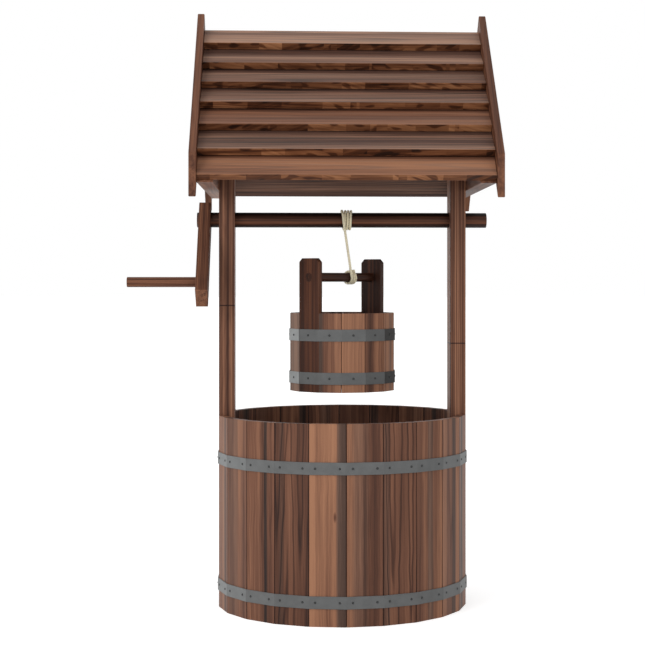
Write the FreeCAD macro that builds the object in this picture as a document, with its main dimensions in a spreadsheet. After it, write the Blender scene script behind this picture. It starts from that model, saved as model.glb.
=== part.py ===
import FreeCAD, Part
import math
import os
import Sketcher
from FreeCAD import Vector

# Wishing well planter. A stave barrel stands on the ground, two posts rise from its rim,
# a lapped roof sits between four barge boards, and a crossbar with a hand crank carries
# a stave bucket on a rope.
# Millimetres. +Z is up, the origin is the middle of the base, and the front faces -Y.

document = FreeCAD.newDocument("wishing_well_planter")
sheet = document.addObject("Spreadsheet::Sheet", "sizes")
SIZES = {
    # Barrel
    "stave_count": 22,
    "barrel_flat": 233,
    "barrel_height": 359,
    "barrel_wall": 14,
    "stave_gap": 0.3,
    "stave_chamfer": 0.8,
    "groove_depth": 5,
    "groove_play": 0.2,
    "floor_thickness": 12,
    "plank_width": 84,
    "drain_gap": 4,
    "batten_height": 22,
    "batten_width": 40,
    "batten_spacing": 150,
    "batten_play": 2,
    "hoop_width": 22,
    "hoop_thickness": 2,
    "upper_hoop_height": 280.1,
    "lower_hoop_height": 43.2,
    # Screws of the hoops
    "screw_inset": 11.5,
    "screw_head": 4.4,
    "screw_head_height": 1.2,
    "screw_shank": 2.4,
    "screw_reach": 10,
    "bucket_screw_reach": 8.5,
    "screw_play": 0.1,
    # How far a cut reaches past the face that it starts from
    "cut_past": 1,
    # Posts
    "post_thickness": 29.1,
    "post_width": 64,
    "left_joint_height": 566,
    "right_joint_height": 494,
    "leg_play": 0.3,
    "post_dowel": 10,
    "post_dowel_length": 60,
    "post_dowel_spread": 28,
    "fit_play": 0.1,
    "bore_play": 1,
    "post_top_play": 1,
    "wood_screw": 5,
    "leg_screw_reach": 24,
    "leg_screw_top": 320,
    "leg_screw_drop": 220,
    # Roof frame
    "roof_pitch": 44.37,
    "ridge_height": 1120,
    "eave_reach": 291.8,
    "barge_thickness": 12.8,
    "barge_depth": 55.3,
    "rail_thickness": 28.6,
    "rail_drop": 337,
    "rail_height": 40,
    "rafter_line": 42,
    "rafter_depth": 35,
    "mitre_play": 0.15,
    "edge_break": 0.8,
    "rail_screw_spread": 36,
    "rail_screw_rise": 28,
    "rail_screw_reach": 45,
    "barge_screw_reach": 30,
    "barge_screw_upper": 12,
    "barge_screw_lower": 150,
    # Roof slats, placed down the slope from the barge boards' apex
    "slat_thickness": 16,
    "slat_line": 13,
    "slat_lap": 16,
    "slat_play": 0.2,
    "slat_drop": 31,
    "slat_end_play": 0.3,
    "first_slat_edge": 74,
    "second_slat_edge": 135,
    "third_slat_edge": 193,
    "fourth_slat_edge": 251.5,
    "fifth_slat_edge": 314.5,
    "sixth_slat_edge": 383,
    "eave_slat_edge": 433.5,
    # Windlass
    "bar_diameter": 28.34,
    "bar_length": 551.2,
    "bar_drop": 55,
    "bar_play": 0.15,
    "bar_overhang": 4.1,
    "arm_gap": 16.3,
    "arm_thickness": 22.2,
    "arm_width": 47.3,
    "arm_reach": 196.5,
    "arm_crown": 24.1,
    "arm_tilt": 41.23,
    "handle_diameter": 18.6,
    "handle_length": 148.7,
    "handle_reach": 156.8,
    "pin_diameter": 5,
    "pin_length": 34,
    "end_round": 1.5,
    # Bucket
    "bucket_staves": 14,
    "bucket_flat": 98.2,
    "bucket_wall": 10.5,
    "bucket_hang": 108.9,
    "bucket_height": 146.7,
    "bucket_turn": 48.76,
    "ear_height": 249.5,
    "ear_width": 48,
    "ear_corner": 7.5,
    "bail_rise": 214.1,
    "bail_diameter": 17,
    "bucket_upper_hoop": 106.1,
    "bucket_lower_hoop": 26.1,
    "bucket_floor_rise": 8,
    "bucket_floor_thickness": 10,
    "bucket_groove": 3,
    # Rope
    "rope_diameter": 5,
    "rope_play": 0.3,
    "winding_pitch": 5.4,
    "winding_quarters": 11,
    "winding_first": 5.8,
    "drop_top": -1.1,
    "drop_front": 2.1,
    "drop_front_lift": 5.2,
    "drop_brow": 0.3,
    "drop_brow_lift": 2.9,
    "drop_back": 1.1,
    "drop_back_out": 1.4,
    "drop_back_up": 2,
    "hitch_offset": 17.8,
    "hitch_quarters": 10,
    "hitch_lead": 16,
}
for row, (alias, value) in enumerate(SIZES.items(), 1):
    sheet.set("A%d" % row, str(value))
    sheet.setAlias("A%d" % row, alias)
document.recompute()


def worth(text):
    """The number that an expression on the sheet comes to."""
    value = sheet.evalExpression(str(text))
    return float(getattr(value, "Value", value))


def origin_feature(body, role):
    for feature in body.Origin.OriginFeatures:
        if feature.Role == role:
            return feature
    raise RuntimeError("no origin feature " + role)


nodes = []


def node(item, label):
    """Keep an object as a sub-part under its name."""
    item.Label = label
    nodes.append(item)
    return item


def new_body(label):
    return node(document.addObject("PartDesign::Body", label), label)


def sketch_on(body, role, depth="0"):
    """An empty sketch on one of the body's own planes, moved out along its normal."""
    sketch = body.newObject("Sketcher::SketchObject", "sketch")
    sketch.AttachmentSupport = [(origin_feature(body, role), "")]
    sketch.MapMode = "FlatFace"
    sketch.setExpression("AttachmentOffset.Base.z", depth)
    return sketch


def outline(sketch, corners):
    """A closed outline whose every corner is held by two expressions."""
    points = [Vector(worth(across), worth(up), 0) for across, up in corners]
    first = sketch.GeometryCount
    count = len(points)
    for index, point in enumerate(points):
        sketch.addGeometry(Part.LineSegment(point, points[(index + 1) % count]), False)
    for index in range(count):
        after = first + (index + 1) % count
        sketch.addConstraint(Sketcher.Constraint("Coincident", first + index, 2, after, 1))
    for index, (across, up) in enumerate(corners):
        for way, text, value in (
            ("DistanceX", across, points[index].x),
            ("DistanceY", up, points[index].y),
        ):
            line = first + index
            held = sketch.addConstraint(Sketcher.Constraint(way, line, 1, value))
            sketch.renameConstraint(held, "%s_%d" % (way.lower(), line))
            sketch.setExpression("Constraints.%s_%d" % (way.lower(), line), text)


def rectangle(sketch, left, right, low, high):
    outline(sketch, [(left, low), (right, low), (right, high), (left, high)])


def circle(sketch, across, up, diameter):
    """A circle whose centre and radius are held by expressions."""
    centre = Vector(worth(across), worth(up), 0)
    radius = worth(diameter) / 2
    line = sketch.addGeometry(Part.Circle(centre, Vector(0, 0, 1), radius), False)
    for way, text, value in (
        ("DistanceX", across, centre.x),
        ("DistanceY", up, centre.y),
    ):
        held = sketch.addConstraint(Sketcher.Constraint(way, line, 3, value))
        sketch.renameConstraint(held, "%s_%d" % (way.lower(), line))
        sketch.setExpression("Constraints.%s_%d" % (way.lower(), line), text)
    held = sketch.addConstraint(Sketcher.Constraint("Radius", line, radius))
    sketch.renameConstraint(held, "radius_%d" % line)
    sketch.setExpression("Constraints.radius_%d" % line, "(%s) / 2" % diameter)


def pad(body, sketch, length, symmetric=False, inward=False):
    feature = body.newObject("PartDesign::Pad", "pad")
    feature.Profile = sketch
    feature.setExpression("Length", length)
    if symmetric:
        feature.SideType = "Symmetric"
    feature.Reversed = inward
    return feature


def pocket(body, sketch, length, symmetric=False):
    """Cut back along the sketch's normal."""
    feature = body.newObject("PartDesign::Pocket", "pocket")
    feature.Profile = sketch
    feature.setExpression("Length", length)
    if symmetric:
        feature.SideType = "Symmetric"
    return feature


def bevel_edges(body, feature, width):
    chamfer = body.newObject("PartDesign::Chamfer", "edges")
    chamfer.Base = (feature, [""])
    chamfer.UseAllEdges = True
    chamfer.setExpression("Size", width)
    return chamfer


def round_edges(body, feature, radius):
    fillet = body.newObject("PartDesign::Fillet", "edges")
    fillet.Base = (feature, [""])
    fillet.UseAllEdges = True
    fillet.setExpression("Radius", radius)
    return fillet


def prism(body, sides, flat, low, high, cutting=False):
    """An upright prism with one flat facing +X, added to or cut from the body."""
    kind = "SubtractivePrism" if cutting else "AdditivePrism"
    feature = body.newObject("PartDesign::" + kind, "prism")
    feature.AttachmentSupport = [(origin_feature(body, "XY_Plane"), "")]
    feature.MapMode = "FlatFace"
    feature.setExpression("Polygon", sides)
    feature.setExpression("Circumradius", "(%s) / cos(180deg / %s)" % (flat, sides))
    feature.setExpression("Height", "(%s) - (%s)" % (high, low))
    feature.setExpression("AttachmentOffset.Base.z", low)
    feature.setExpression("AttachmentOffset.Rotation.Angle", "180deg / %s" % sides)
    return feature


def all_round(body, count, originals=None):
    """Repeat the whole body, or the features given, round the upright axis."""
    pattern = body.newObject("PartDesign::PolarPattern", "round")
    if originals:
        pattern.Originals = originals
    else:
        pattern.TransformMode = "Whole shape"
    pattern.Axis = (origin_feature(body, "Z_Axis"), [""])
    pattern.Angle = 360
    pattern.setExpression("Occurrences", count)
    body.Tip = pattern
    return pattern


def place(body, base, axis, angle):
    """Turn a body about an axis through its origin, then move it, by expressions."""
    body.setExpression(
        "Placement",
        "placement(vector(%s); rotation(vector(%s); %s))" % (base, axis, angle),
    )


def half_width(flat, count, gap):
    """Half a stave's width at a distance from the middle."""
    return "((%s) * tan(180deg / %s) - (%s) / 2)" % (flat, count, gap)


def stave(body, flat, wall, count, height):
    """One upright stave across +X, with bevelled sides and broken outer corners."""
    outside = half_width(flat, count, "sizes.stave_gap")
    inside = half_width("(%s) - (%s)" % (flat, wall), count, "sizes.stave_gap")
    sketch = sketch_on(body, "XY_Plane")
    face = "(%s)" % flat
    back = "((%s) - (%s))" % (flat, wall)
    shoulder = "(%s - sizes.stave_chamfer)" % face
    side = half_width(shoulder, count, "sizes.stave_gap")
    corner = "(%s - sizes.stave_chamfer)" % outside
    outline(
        sketch,
        [
            (back, "-" + inside),
            (shoulder, "-" + side),
            (face, "-" + corner),
            (face, corner),
            (shoulder, side),
            (back, inside),
        ],
    )
    return pad(body, sketch, height)


def groove(body, flat, wall, depth, low, high):
    """The floor's groove across the inside of a stave."""
    sketch = sketch_on(body, "XZ_Plane")
    back = "((%s) - (%s))" % (flat, wall)
    rectangle(sketch, back + " - sizes.cut_past", "%s + %s" % (back, depth), low, high)
    return pocket(body, sketch, "2 * (%s)" % flat, True)


def screw_bores(body, side, near, deep, places):
    """Bores along X for wood screws, from a face that is near from the middle, outwards."""
    start = "%s + %s" % (near, deep) if side == "right" else "-" + near
    bores = sketch_on(body, "YZ_Plane", start)
    for across, height in places:
        circle(bores, across, height, "sizes.wood_screw + 2 * sizes.fit_play")
    cut = pocket(body, bores, deep)
    body.Tip = cut
    return cut


def wood_screws(label, places, near, reach):
    """Plain wood screws along X on both sides, with their heads flush in a face."""
    body = new_body(label)
    for side in ("left", "right"):
        start = near if side == "right" else "-(%s)" % near
        ends = sketch_on(body, "YZ_Plane", start)
        for across, height in places:
            circle(ends, across, height, "sizes.wood_screw")
        pad(body, ends, reach, inward=side == "left")


# Expressions that several pieces share
SCREW_ACROSS = "(sizes.barrel_flat * tan(180deg / sizes.stave_count) - sizes.screw_inset)"
BARREL_INNER = "(sizes.barrel_flat - sizes.barrel_wall)"
RAIL_UNDERSIDE = "(sizes.ridge_height - sizes.rail_drop)"
BAR_HEIGHT = "(%s - sizes.bar_drop)" % RAIL_UNDERSIDE
BUCKET_BASE = "(%s - sizes.bucket_hang - sizes.bail_rise)" % BAR_HEIGHT
LEG_SCREWS = (
    ("0", "sizes.leg_screw_top"),
    ("0", "sizes.leg_screw_top - sizes.leg_screw_drop"),
)
RAIL_SCREWS = (
    ("-sizes.rail_screw_spread / 2", RAIL_UNDERSIDE + " + sizes.rail_screw_rise"),
    ("sizes.rail_screw_spread / 2", RAIL_UNDERSIDE + " + sizes.rail_screw_rise"),
)
POST_INNER = "(sizes.barrel_flat - sizes.post_thickness)"
POST_MIDDLE = "(sizes.barrel_flat - sizes.post_thickness / 2)"
LEG_THICKNESS = "(sizes.post_thickness - sizes.barrel_wall - sizes.leg_play)"
LEG_FOOT = "(sizes.batten_height + sizes.floor_thickness)"
COSINE = "cos(sizes.roof_pitch * 1deg)"
SLOPE = "tan(sizes.roof_pitch * 1deg)"


def barrel_staves():
    body = new_body("barrel_staves")
    count = "sizes.stave_count"
    stave(body, "sizes.barrel_flat", "sizes.barrel_wall", count, "sizes.barrel_height")
    low = "sizes.batten_height - sizes.groove_play"
    high = "sizes.batten_height + sizes.floor_thickness + sizes.groove_play"
    groove(body, "sizes.barrel_flat", "sizes.barrel_wall", "sizes.groove_depth", low, high)
    bores = sketch_on(body, "YZ_Plane", "sizes.barrel_flat")
    for height in ("sizes.upper_hoop_height", "sizes.lower_hoop_height"):
        for side in ("-", ""):
            circle(bores, side + SCREW_ACROSS, height, "sizes.screw_shank + 2 * sizes.screw_play")
    pocket(body, bores, "sizes.screw_reach - sizes.hoop_thickness + sizes.screw_play")
    all_round(body, count)
    document.recompute()
    deep = "(sizes.leg_screw_reach - %s - sizes.leg_play + sizes.bore_play)" % LEG_THICKNESS
    for side in ("left", "right"):
        screw_bores(body, side, BARREL_INNER, deep, LEG_SCREWS)


def barrel_hoop(label, height):
    body = new_body(label)
    count = "sizes.stave_count"
    low = "%s - sizes.hoop_width / 2" % height
    high = "%s + sizes.hoop_width / 2" % height
    prism(body, count, "sizes.barrel_flat + sizes.hoop_thickness", low, high)
    prism(body, count, "sizes.barrel_flat", low, high, True)
    bores = sketch_on(body, "YZ_Plane", "sizes.barrel_flat + sizes.hoop_thickness")
    for side in ("-", ""):
        circle(bores, side + SCREW_ACROSS, height, "sizes.screw_shank + 2 * sizes.screw_play")
    cut = pocket(body, bores, "sizes.hoop_thickness")
    document.recompute()
    all_round(body, count, originals=[cut])


def hoop_screws(label, count, face, across, heights, reach):
    """Domed screws through the hoops, as separate solids in one sub-part."""
    body = new_body(label)
    heads = sketch_on(body, "YZ_Plane", face)
    shanks = sketch_on(body, "YZ_Plane", face)
    for height in heights:
        for place_across in across:
            circle(heads, place_across, height, "sizes.screw_head")
            circle(shanks, place_across, height, "sizes.screw_shank")
    head = pad(body, heads, "sizes.screw_head_height")
    head.TaperAngle = -30
    pad(body, shanks, reach, inward=True)
    all_round(body, count)
    return body


def barrel_floor():
    """Planks across the barrel in the staves' groove, with gaps that let water out."""
    body = new_body("barrel_floor")
    reach = (
        "sizes.barrel_flat - sizes.barrel_wall + sizes.groove_depth - sizes.groove_play"
    )
    low = "sizes.batten_height"
    high = "sizes.batten_height + sizes.floor_thickness"
    prism(body, "sizes.stave_count", reach, low, high)
    slots = sketch_on(body, "XY_Plane", high)
    step = "(sizes.plank_width + sizes.drain_gap)"
    for share in (-1.5, -0.5, 0.5, 1.5):
        middle = "%s * %s" % (share, step)
        rectangle(
            slots,
            "-sizes.barrel_flat",
            "sizes.barrel_flat",
            middle + " - sizes.drain_gap / 2",
            middle + " + sizes.drain_gap / 2",
        )
    pocket(body, slots, "sizes.floor_thickness")


def floor_battens():
    body = new_body("floor_battens")
    sketch = sketch_on(body, "XY_Plane")
    inner = "(sizes.barrel_flat - sizes.barrel_wall)"
    for share in (-1, 0, 1):
        middle = "%d * sizes.batten_spacing" % share
        edge = "(abs(%s) + sizes.batten_width / 2)" % middle
        half = "(sqrt(%s * %s - %s * %s) - sizes.batten_play)" % (inner, inner, edge, edge)
        rectangle(
            sketch,
            middle + " - sizes.batten_width / 2",
            middle + " + sizes.batten_width / 2",
            "-" + half,
            half,
        )
    pad(body, sketch, "sizes.batten_height")


def start_of(side, near, thickness):
    """Where a piece between near and near + thickness starts along X on one side."""
    return near if side == "right" else "-(%s + %s)" % (near, thickness)


def line_height(depth, reach):
    """Height of the line that lies a depth square below the roof's edge, at a reach."""
    return "(sizes.ridge_height - (%s) / %s - (%s) * %s)" % (depth, COSINE, reach, SLOPE)


def dowel_bores(body, side, height, upward):
    """Two bores for the dowels that join the halves of a post."""
    deep = "(sizes.post_dowel_length / 2 + sizes.bore_play)"
    level = "%s + %s" % (height, deep) if upward else height
    sign = "" if side == "right" else "-"
    bores = sketch_on(body, "XY_Plane", level)
    for way in ("-", ""):
        circle(
            bores,
            sign + POST_MIDDLE,
            way + "sizes.post_dowel_spread / 2",
            "sizes.post_dowel + 2 * sizes.fit_play",
        )
    pocket(body, bores, deep)


def lower_post(side, joint):
    """The lower half of a post. It is rebated to stand on the rim and run down inside."""
    body = new_body(side + "_post_lower")
    half = "sizes.post_width / 2"
    block = sketch_on(
        body, "YZ_Plane", start_of(side, POST_INNER, "sizes.post_thickness")
    )
    rectangle(block, "-" + half, half, "sizes.barrel_height", joint)
    pad(body, block, "sizes.post_thickness")
    leg = sketch_on(body, "YZ_Plane", start_of(side, POST_INNER, LEG_THICKNESS))
    rectangle(leg, "-" + half, half, LEG_FOOT, "sizes.barrel_height + sizes.cut_past")
    pad(body, leg, LEG_THICKNESS)
    dowel_bores(body, side, joint, False)
    screw_bores(body, side, POST_INNER, LEG_THICKNESS, LEG_SCREWS)


def upper_post(side, joint):
    """The upper half of a post, with a top cut to the roof and a bore for the crossbar."""
    body = new_body(side + "_post_upper")
    half = "sizes.post_width / 2"
    top = "%s - sizes.post_top_play" % line_height("sizes.rafter_line", "0")
    shoulder = "%s - sizes.post_top_play" % line_height("sizes.rafter_line", half)
    face = sketch_on(
        body, "YZ_Plane", start_of(side, POST_INNER, "sizes.post_thickness")
    )
    outline(
        face,
        [("-" + half, joint), (half, joint), (half, shoulder), ("0", top), ("-" + half, shoulder)],
    )
    pad(body, face, "sizes.post_thickness")
    dowel_bores(body, side, joint, True)
    bores = sketch_on(body, "YZ_Plane", "sizes.barrel_flat" if side == "right" else "0")
    circle(bores, "0", BAR_HEIGHT, "sizes.bar_diameter + 2 * sizes.bar_play")
    pocket(body, bores, "sizes.barrel_flat")
    screw_bores(body, side, POST_INNER, "sizes.post_thickness", RAIL_SCREWS)


def post_dowels():
    """Four hidden dowels, two in each joint between a post's halves."""
    body = new_body("post_dowels")
    for side, joint in (("left", "sizes.left_joint_height"), ("right", "sizes.right_joint_height")):
        sign = "" if side == "right" else "-"
        ends = sketch_on(body, "XY_Plane", joint)
        for way in ("-", ""):
            circle(ends, sign + POST_MIDDLE, way + "sizes.post_dowel_spread / 2", "sizes.post_dowel")
        pad(body, ends, "sizes.post_dowel_length", True)


def panel(label, side, near, thickness, corners):
    """A board that lies across X, cut to an outline of (Y, Z) corners."""
    body = new_body(label)
    face = sketch_on(body, "YZ_Plane", start_of(side, near, thickness))
    outline(face, corners)
    board = pad(body, face, thickness)
    document.recompute()
    bevel_edges(body, board, "sizes.edge_break")
    return body


def tie_rail(side):
    low = RAIL_UNDERSIDE
    high = "(%s + sizes.rail_height)" % low
    foot = "((%s - %s) / %s)" % (line_height("sizes.rafter_line", "0"), low, SLOPE)
    head = "((%s - %s) / %s)" % (line_height("sizes.rafter_line", "0"), high, SLOPE)
    corners = [("-" + foot, low), (foot, low), (head, high), ("-" + head, high)]
    body = panel(
        side + "_tie_rail", side, "sizes.barrel_flat", "sizes.rail_thickness", corners
    )
    deep = "(sizes.rail_screw_reach - sizes.post_thickness + sizes.bore_play)"
    screw_bores(body, side, "sizes.barrel_flat", deep, RAIL_SCREWS)


def rafter(side, end):
    """A rafter from the tie rail's top to the ridge, where two of them meet."""
    sign = "-" if end == "front" else ""
    foot = "(%s + sizes.rail_height)" % RAIL_UNDERSIDE
    under = "sizes.rafter_line + sizes.rafter_depth"
    play = "sizes.mitre_play"
    corners = [
        (sign + play, line_height(under, play)),
        (sign + "((%s - %s) / %s)" % (line_height(under, "0"), foot, SLOPE), foot),
        (sign + "((%s - %s) / %s)" % (line_height("sizes.rafter_line", "0"), foot, SLOPE), foot),
        (sign + play, line_height("sizes.rafter_line", play)),
    ]
    label = "%s_%s_rafter" % (side, end)
    body = panel(label, side, "sizes.barrel_flat", "sizes.rail_thickness", corners)
    deep = "(sizes.barge_screw_reach - sizes.barge_thickness + sizes.bore_play)"
    near = "(sizes.barrel_flat + sizes.rail_thickness - %s)" % deep
    screw_bores(body, side, near, deep, barge_screw_places(end))


def barge_screw_places(end):
    """Two places where a barge board covers its rafter, as (Y, Z)."""
    sign = "-" if end == "front" else ""
    depth = "((sizes.rafter_line + sizes.barge_depth) / 2)"
    return [
        (sign + reach, line_height(depth, reach))
        for reach in ("sizes.barge_screw_upper", "sizes.barge_screw_lower")
    ]


def barge_board(side, end):
    """A barge board with a plumb cut at the eave and a mitre at the ridge."""
    sign = "-" if end == "front" else ""
    play = "sizes.mitre_play"
    corners = [
        (sign + play, line_height("0", play)),
        (sign + "sizes.eave_reach", line_height("0", "sizes.eave_reach")),
        (sign + "sizes.eave_reach", line_height("sizes.barge_depth", "sizes.eave_reach")),
        (sign + play, line_height("sizes.barge_depth", play)),
    ]
    near = "(sizes.barrel_flat + sizes.rail_thickness)"
    body = panel("%s_%s_barge" % (side, end), side, near, "sizes.barge_thickness", corners)
    screw_bores(body, side, near, "sizes.barge_thickness", barge_screw_places(end))


SLAT_EDGES = (
    "sizes.first_slat_edge",
    "sizes.second_slat_edge",
    "sizes.third_slat_edge",
    "sizes.fourth_slat_edge",
    "sizes.fifth_slat_edge",
    "sizes.sixth_slat_edge",
    "sizes.eave_slat_edge",
)


def slat_corners(number):
    """A slat's section, as (down the slope, out from the barge boards' top edge).

    Slats two to six are feather-edged: the thin edge lies on the rafters and the thick
    one on the slat below. The last slat lies flat on the rafters, under the sixth, and
    the first is cut upright at the ridge.
    """
    edge = SLAT_EDGES[number - 1]
    outer = "-sizes.slat_line"
    inner = "(-sizes.slat_line - sizes.slat_thickness)"
    bed = "-sizes.rafter_line"
    if number == 1:
        top = "(-sizes.slat_drop * %s)" % COSINE
        low = "(%s - sizes.slat_thickness)" % top
        return [
            ("-%s * %s + sizes.mitre_play" % (top, SLOPE), top),
            ("-%s * %s + sizes.mitre_play" % (low, SLOPE), low),
            (edge, inner),
            (edge, outer),
        ]
    above = SLAT_EDGES[number - 2]
    start = "(%s - sizes.slat_lap)" % above
    if number == len(SLAT_EDGES):
        face = "(%s - sizes.slat_play)" % inner
        rise = "((%s - %s) / (%s - %s + sizes.slat_lap))" % (inner, bed, above, SLAT_EDGES[number - 3])
        thin = "(%s - sizes.slat_lap * %s)" % (face, rise)
        return [(start, thin), (start, bed), (edge, bed), (edge, face)]
    fall = "((sizes.slat_thickness + sizes.slat_play) / (%s - %s))" % (edge, above)
    thin = "(%s - (%s - %s) * %s)" % (outer, edge, start, fall)
    return [(start, thin), (start, bed), (edge, inner), (edge, outer)]


def slat(end, number):
    """One slat across the roof, on the front or the rear slope."""
    body = new_body("%s_slat_%d" % (end, number))
    section = sketch_on(body, "YZ_Plane")
    outline(section, slat_corners(number))
    length = "2 * (sizes.barrel_flat + sizes.rail_thickness - sizes.slat_end_play)"
    board = pad(body, section, length, True)
    document.recompute()
    bevel_edges(body, board, "sizes.edge_break")
    half_turn = "180" if end == "front" else "0"
    body.setExpression(
        "Placement",
        "placement(vector(0; 0; sizes.ridge_height); rotation(vector(0; 0; 1); %s))"
        " * placement(vector(0; 0; 0); rotation(vector(1; 0; 0); -sizes.roof_pitch))" % half_turn,
    )


def bore_along(body, role, depth, across, up, diameter, length):
    """Cut one round bore back from a plane."""
    sketch = sketch_on(body, role, depth)
    circle(sketch, across, up, diameter)
    return pocket(body, sketch, length)


ARM_MIDDLE = "(sizes.barrel_flat + sizes.arm_gap + sizes.arm_thickness / 2)"


def on_windlass(body):
    place(body, "0; 0; " + BAR_HEIGHT, "1; 0; 0", "-sizes.arm_tilt")


def crossbar():
    """The round bar that turns in the posts, with a blind bore for the crank's pin."""
    body = new_body("crossbar")
    start = "-(%s + sizes.arm_thickness / 2 + sizes.bar_overhang)" % ARM_MIDDLE
    end = sketch_on(body, "YZ_Plane", start)
    circle(end, "0", "0", "sizes.bar_diameter")
    bar = pad(body, end, "sizes.bar_length")
    document.recompute()
    round_edges(body, bar, "sizes.end_round")
    bore = sketch_on(body, "XY_Plane", "sizes.bar_diameter")
    circle(bore, "-" + ARM_MIDDLE, "0", "sizes.pin_diameter + 2 * sizes.fit_play")
    pocket(body, bore, "sizes.bar_diameter - sizes.arm_crown + sizes.pin_length + sizes.bore_play")
    on_windlass(body)


def crank_arm():
    """The flat arm on the crossbar's left end, tilted to the front."""
    body = new_body("crank_arm")
    half = "sizes.arm_width / 2"
    start = "-(%s + sizes.arm_thickness / 2)" % ARM_MIDDLE
    face = sketch_on(body, "YZ_Plane", start)
    rectangle(face, "-" + half, half, "-sizes.arm_reach", "sizes.arm_crown")
    board = pad(body, face, "sizes.arm_thickness")
    document.recompute()
    bevel_edges(body, board, "sizes.edge_break")
    bores = sketch_on(body, "YZ_Plane", "0")
    circle(bores, "0", "0", "sizes.bar_diameter + 2 * sizes.fit_play")
    circle(bores, "0", "-sizes.handle_reach", "sizes.handle_diameter + 2 * sizes.fit_play")
    pocket(body, bores, "sizes.bar_length")
    pin = "sizes.pin_diameter + 2 * sizes.fit_play"
    bore_along(
        body, "XY_Plane", "sizes.arm_crown", "-" + ARM_MIDDLE, "0", pin, "sizes.arm_crown"
    )
    on_windlass(body)


def crank_handle():
    """The round grip, seated through the arm's lower end."""
    body = new_body("crank_handle")
    inner = "-(%s - sizes.arm_thickness / 2)" % ARM_MIDDLE
    end = sketch_on(body, "YZ_Plane", inner)
    circle(end, "0", "-sizes.handle_reach", "sizes.handle_diameter")
    grip = pad(body, end, "sizes.handle_length", inward=True)
    document.recompute()
    round_edges(body, grip, "sizes.end_round")
    on_windlass(body)


def crank_pin():
    """The pin driven down through the arm's crown into the crossbar."""
    body = new_body("crank_pin")
    end = sketch_on(body, "XY_Plane", "sizes.arm_crown")
    circle(end, "-" + ARM_MIDDLE, "0", "sizes.pin_diameter")
    pad(body, end, "sizes.pin_length", inward=True)
    on_windlass(body)


def turn_bucket(body):
    place(body, "0; 0; " + BUCKET_BASE, "0; 0; 1", "sizes.bucket_turn")


BUCKET_FLOOR_TOP = "(sizes.bucket_floor_rise + sizes.bucket_floor_thickness)"


def bucket_groove(body):
    """The floor's groove in one of the bucket's staves."""
    low = "sizes.bucket_floor_rise - sizes.groove_play"
    high = BUCKET_FLOOR_TOP + " + sizes.groove_play"
    groove(body, "sizes.bucket_flat", "sizes.bucket_wall", "sizes.bucket_groove", low, high)


def bucket_bores(body):
    """Pilot bores for one screw at each hoop."""
    bores = sketch_on(body, "YZ_Plane", "sizes.bucket_flat")
    for height in ("sizes.bucket_upper_hoop", "sizes.bucket_lower_hoop"):
        circle(bores, "0", height, "sizes.screw_shank + 2 * sizes.screw_play")
    pocket(body, bores, "sizes.bucket_screw_reach - sizes.hoop_thickness + sizes.screw_play")


def bucket_staves():
    """Twelve plain staves. The two that rise as ears are sub-parts of their own."""
    body = new_body("bucket_staves")
    count = "sizes.bucket_staves"
    stave(body, "sizes.bucket_flat", "sizes.bucket_wall", count, "sizes.bucket_height")
    bucket_groove(body)
    bucket_bores(body)
    all_round(body, count)
    document.recompute()
    places = sketch_on(body, "XY_Plane", "sizes.bucket_height")
    near = "(sizes.bucket_flat - sizes.bucket_wall - sizes.cut_past)"
    far = "(sizes.bucket_flat + sizes.cut_past)"
    half = "(sizes.ear_width / 2)"
    for sign in ("-", ""):
        rectangle(places, sign + near, sign + far, "-" + half, half)
    ring = body.Tip
    body.Tip = pocket(body, places, "sizes.bucket_height")
    document.recompute()
    if ring.Shape.Volume - body.Tip.Shape.Volume < 1:
        raise RuntimeError("the ears' places were not cut")
    turn_bucket(body)


def ear(end):
    """A tall straight-sided stave with cut corners and a bore for the rope's dowel.

    It is wider than the facet that it stands in, so its outer corners follow the facets
    beside it, where the hoops lie.
    """
    body = new_body(end + "_ear")
    half = "(sizes.ear_width / 2 - sizes.stave_gap)"
    facet = "(sizes.bucket_flat * tan(180deg / sizes.bucket_staves))"
    back = "(sizes.bucket_flat - sizes.bucket_wall)"
    side_face = "(sizes.bucket_flat - (%s - %s) * tan(360deg / sizes.bucket_staves))" % (half, facet)
    section = sketch_on(body, "XY_Plane")
    outline(
        section,
        [
            (back, "-" + half),
            (side_face, "-" + half),
            ("sizes.bucket_flat", "-" + facet),
            ("sizes.bucket_flat", facet),
            (side_face, half),
            (back, half),
        ],
    )
    pad(body, section, "sizes.ear_height")
    bucket_groove(body)
    bucket_bores(body)
    cuts = sketch_on(body, "YZ_Plane", "sizes.bucket_flat + sizes.cut_past")
    side = half
    for sign in ("-", ""):
        outline(
            cuts,
            [
                ("%s(%s - sizes.ear_corner)" % (sign, side), "sizes.ear_height"),
                (sign + side, "sizes.ear_height - sizes.ear_corner"),
                ("%s(%s + sizes.cut_past)" % (sign, side), "sizes.ear_height - sizes.ear_corner"),
                ("%s(%s + sizes.cut_past)" % (sign, side), "sizes.ear_height + sizes.cut_past"),
                ("%s(%s - sizes.ear_corner)" % (sign, side), "sizes.ear_height + sizes.cut_past"),
            ],
        )
    circle(cuts, "0", "sizes.bail_rise", "sizes.bail_diameter + 2 * sizes.fit_play")
    pocket(body, cuts, "sizes.bucket_wall + 2 * sizes.cut_past")
    turn = "sizes.bucket_turn" if end == "rear" else "sizes.bucket_turn + 180"
    place(body, "0; 0; " + BUCKET_BASE, "0; 0; 1", turn)


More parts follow.
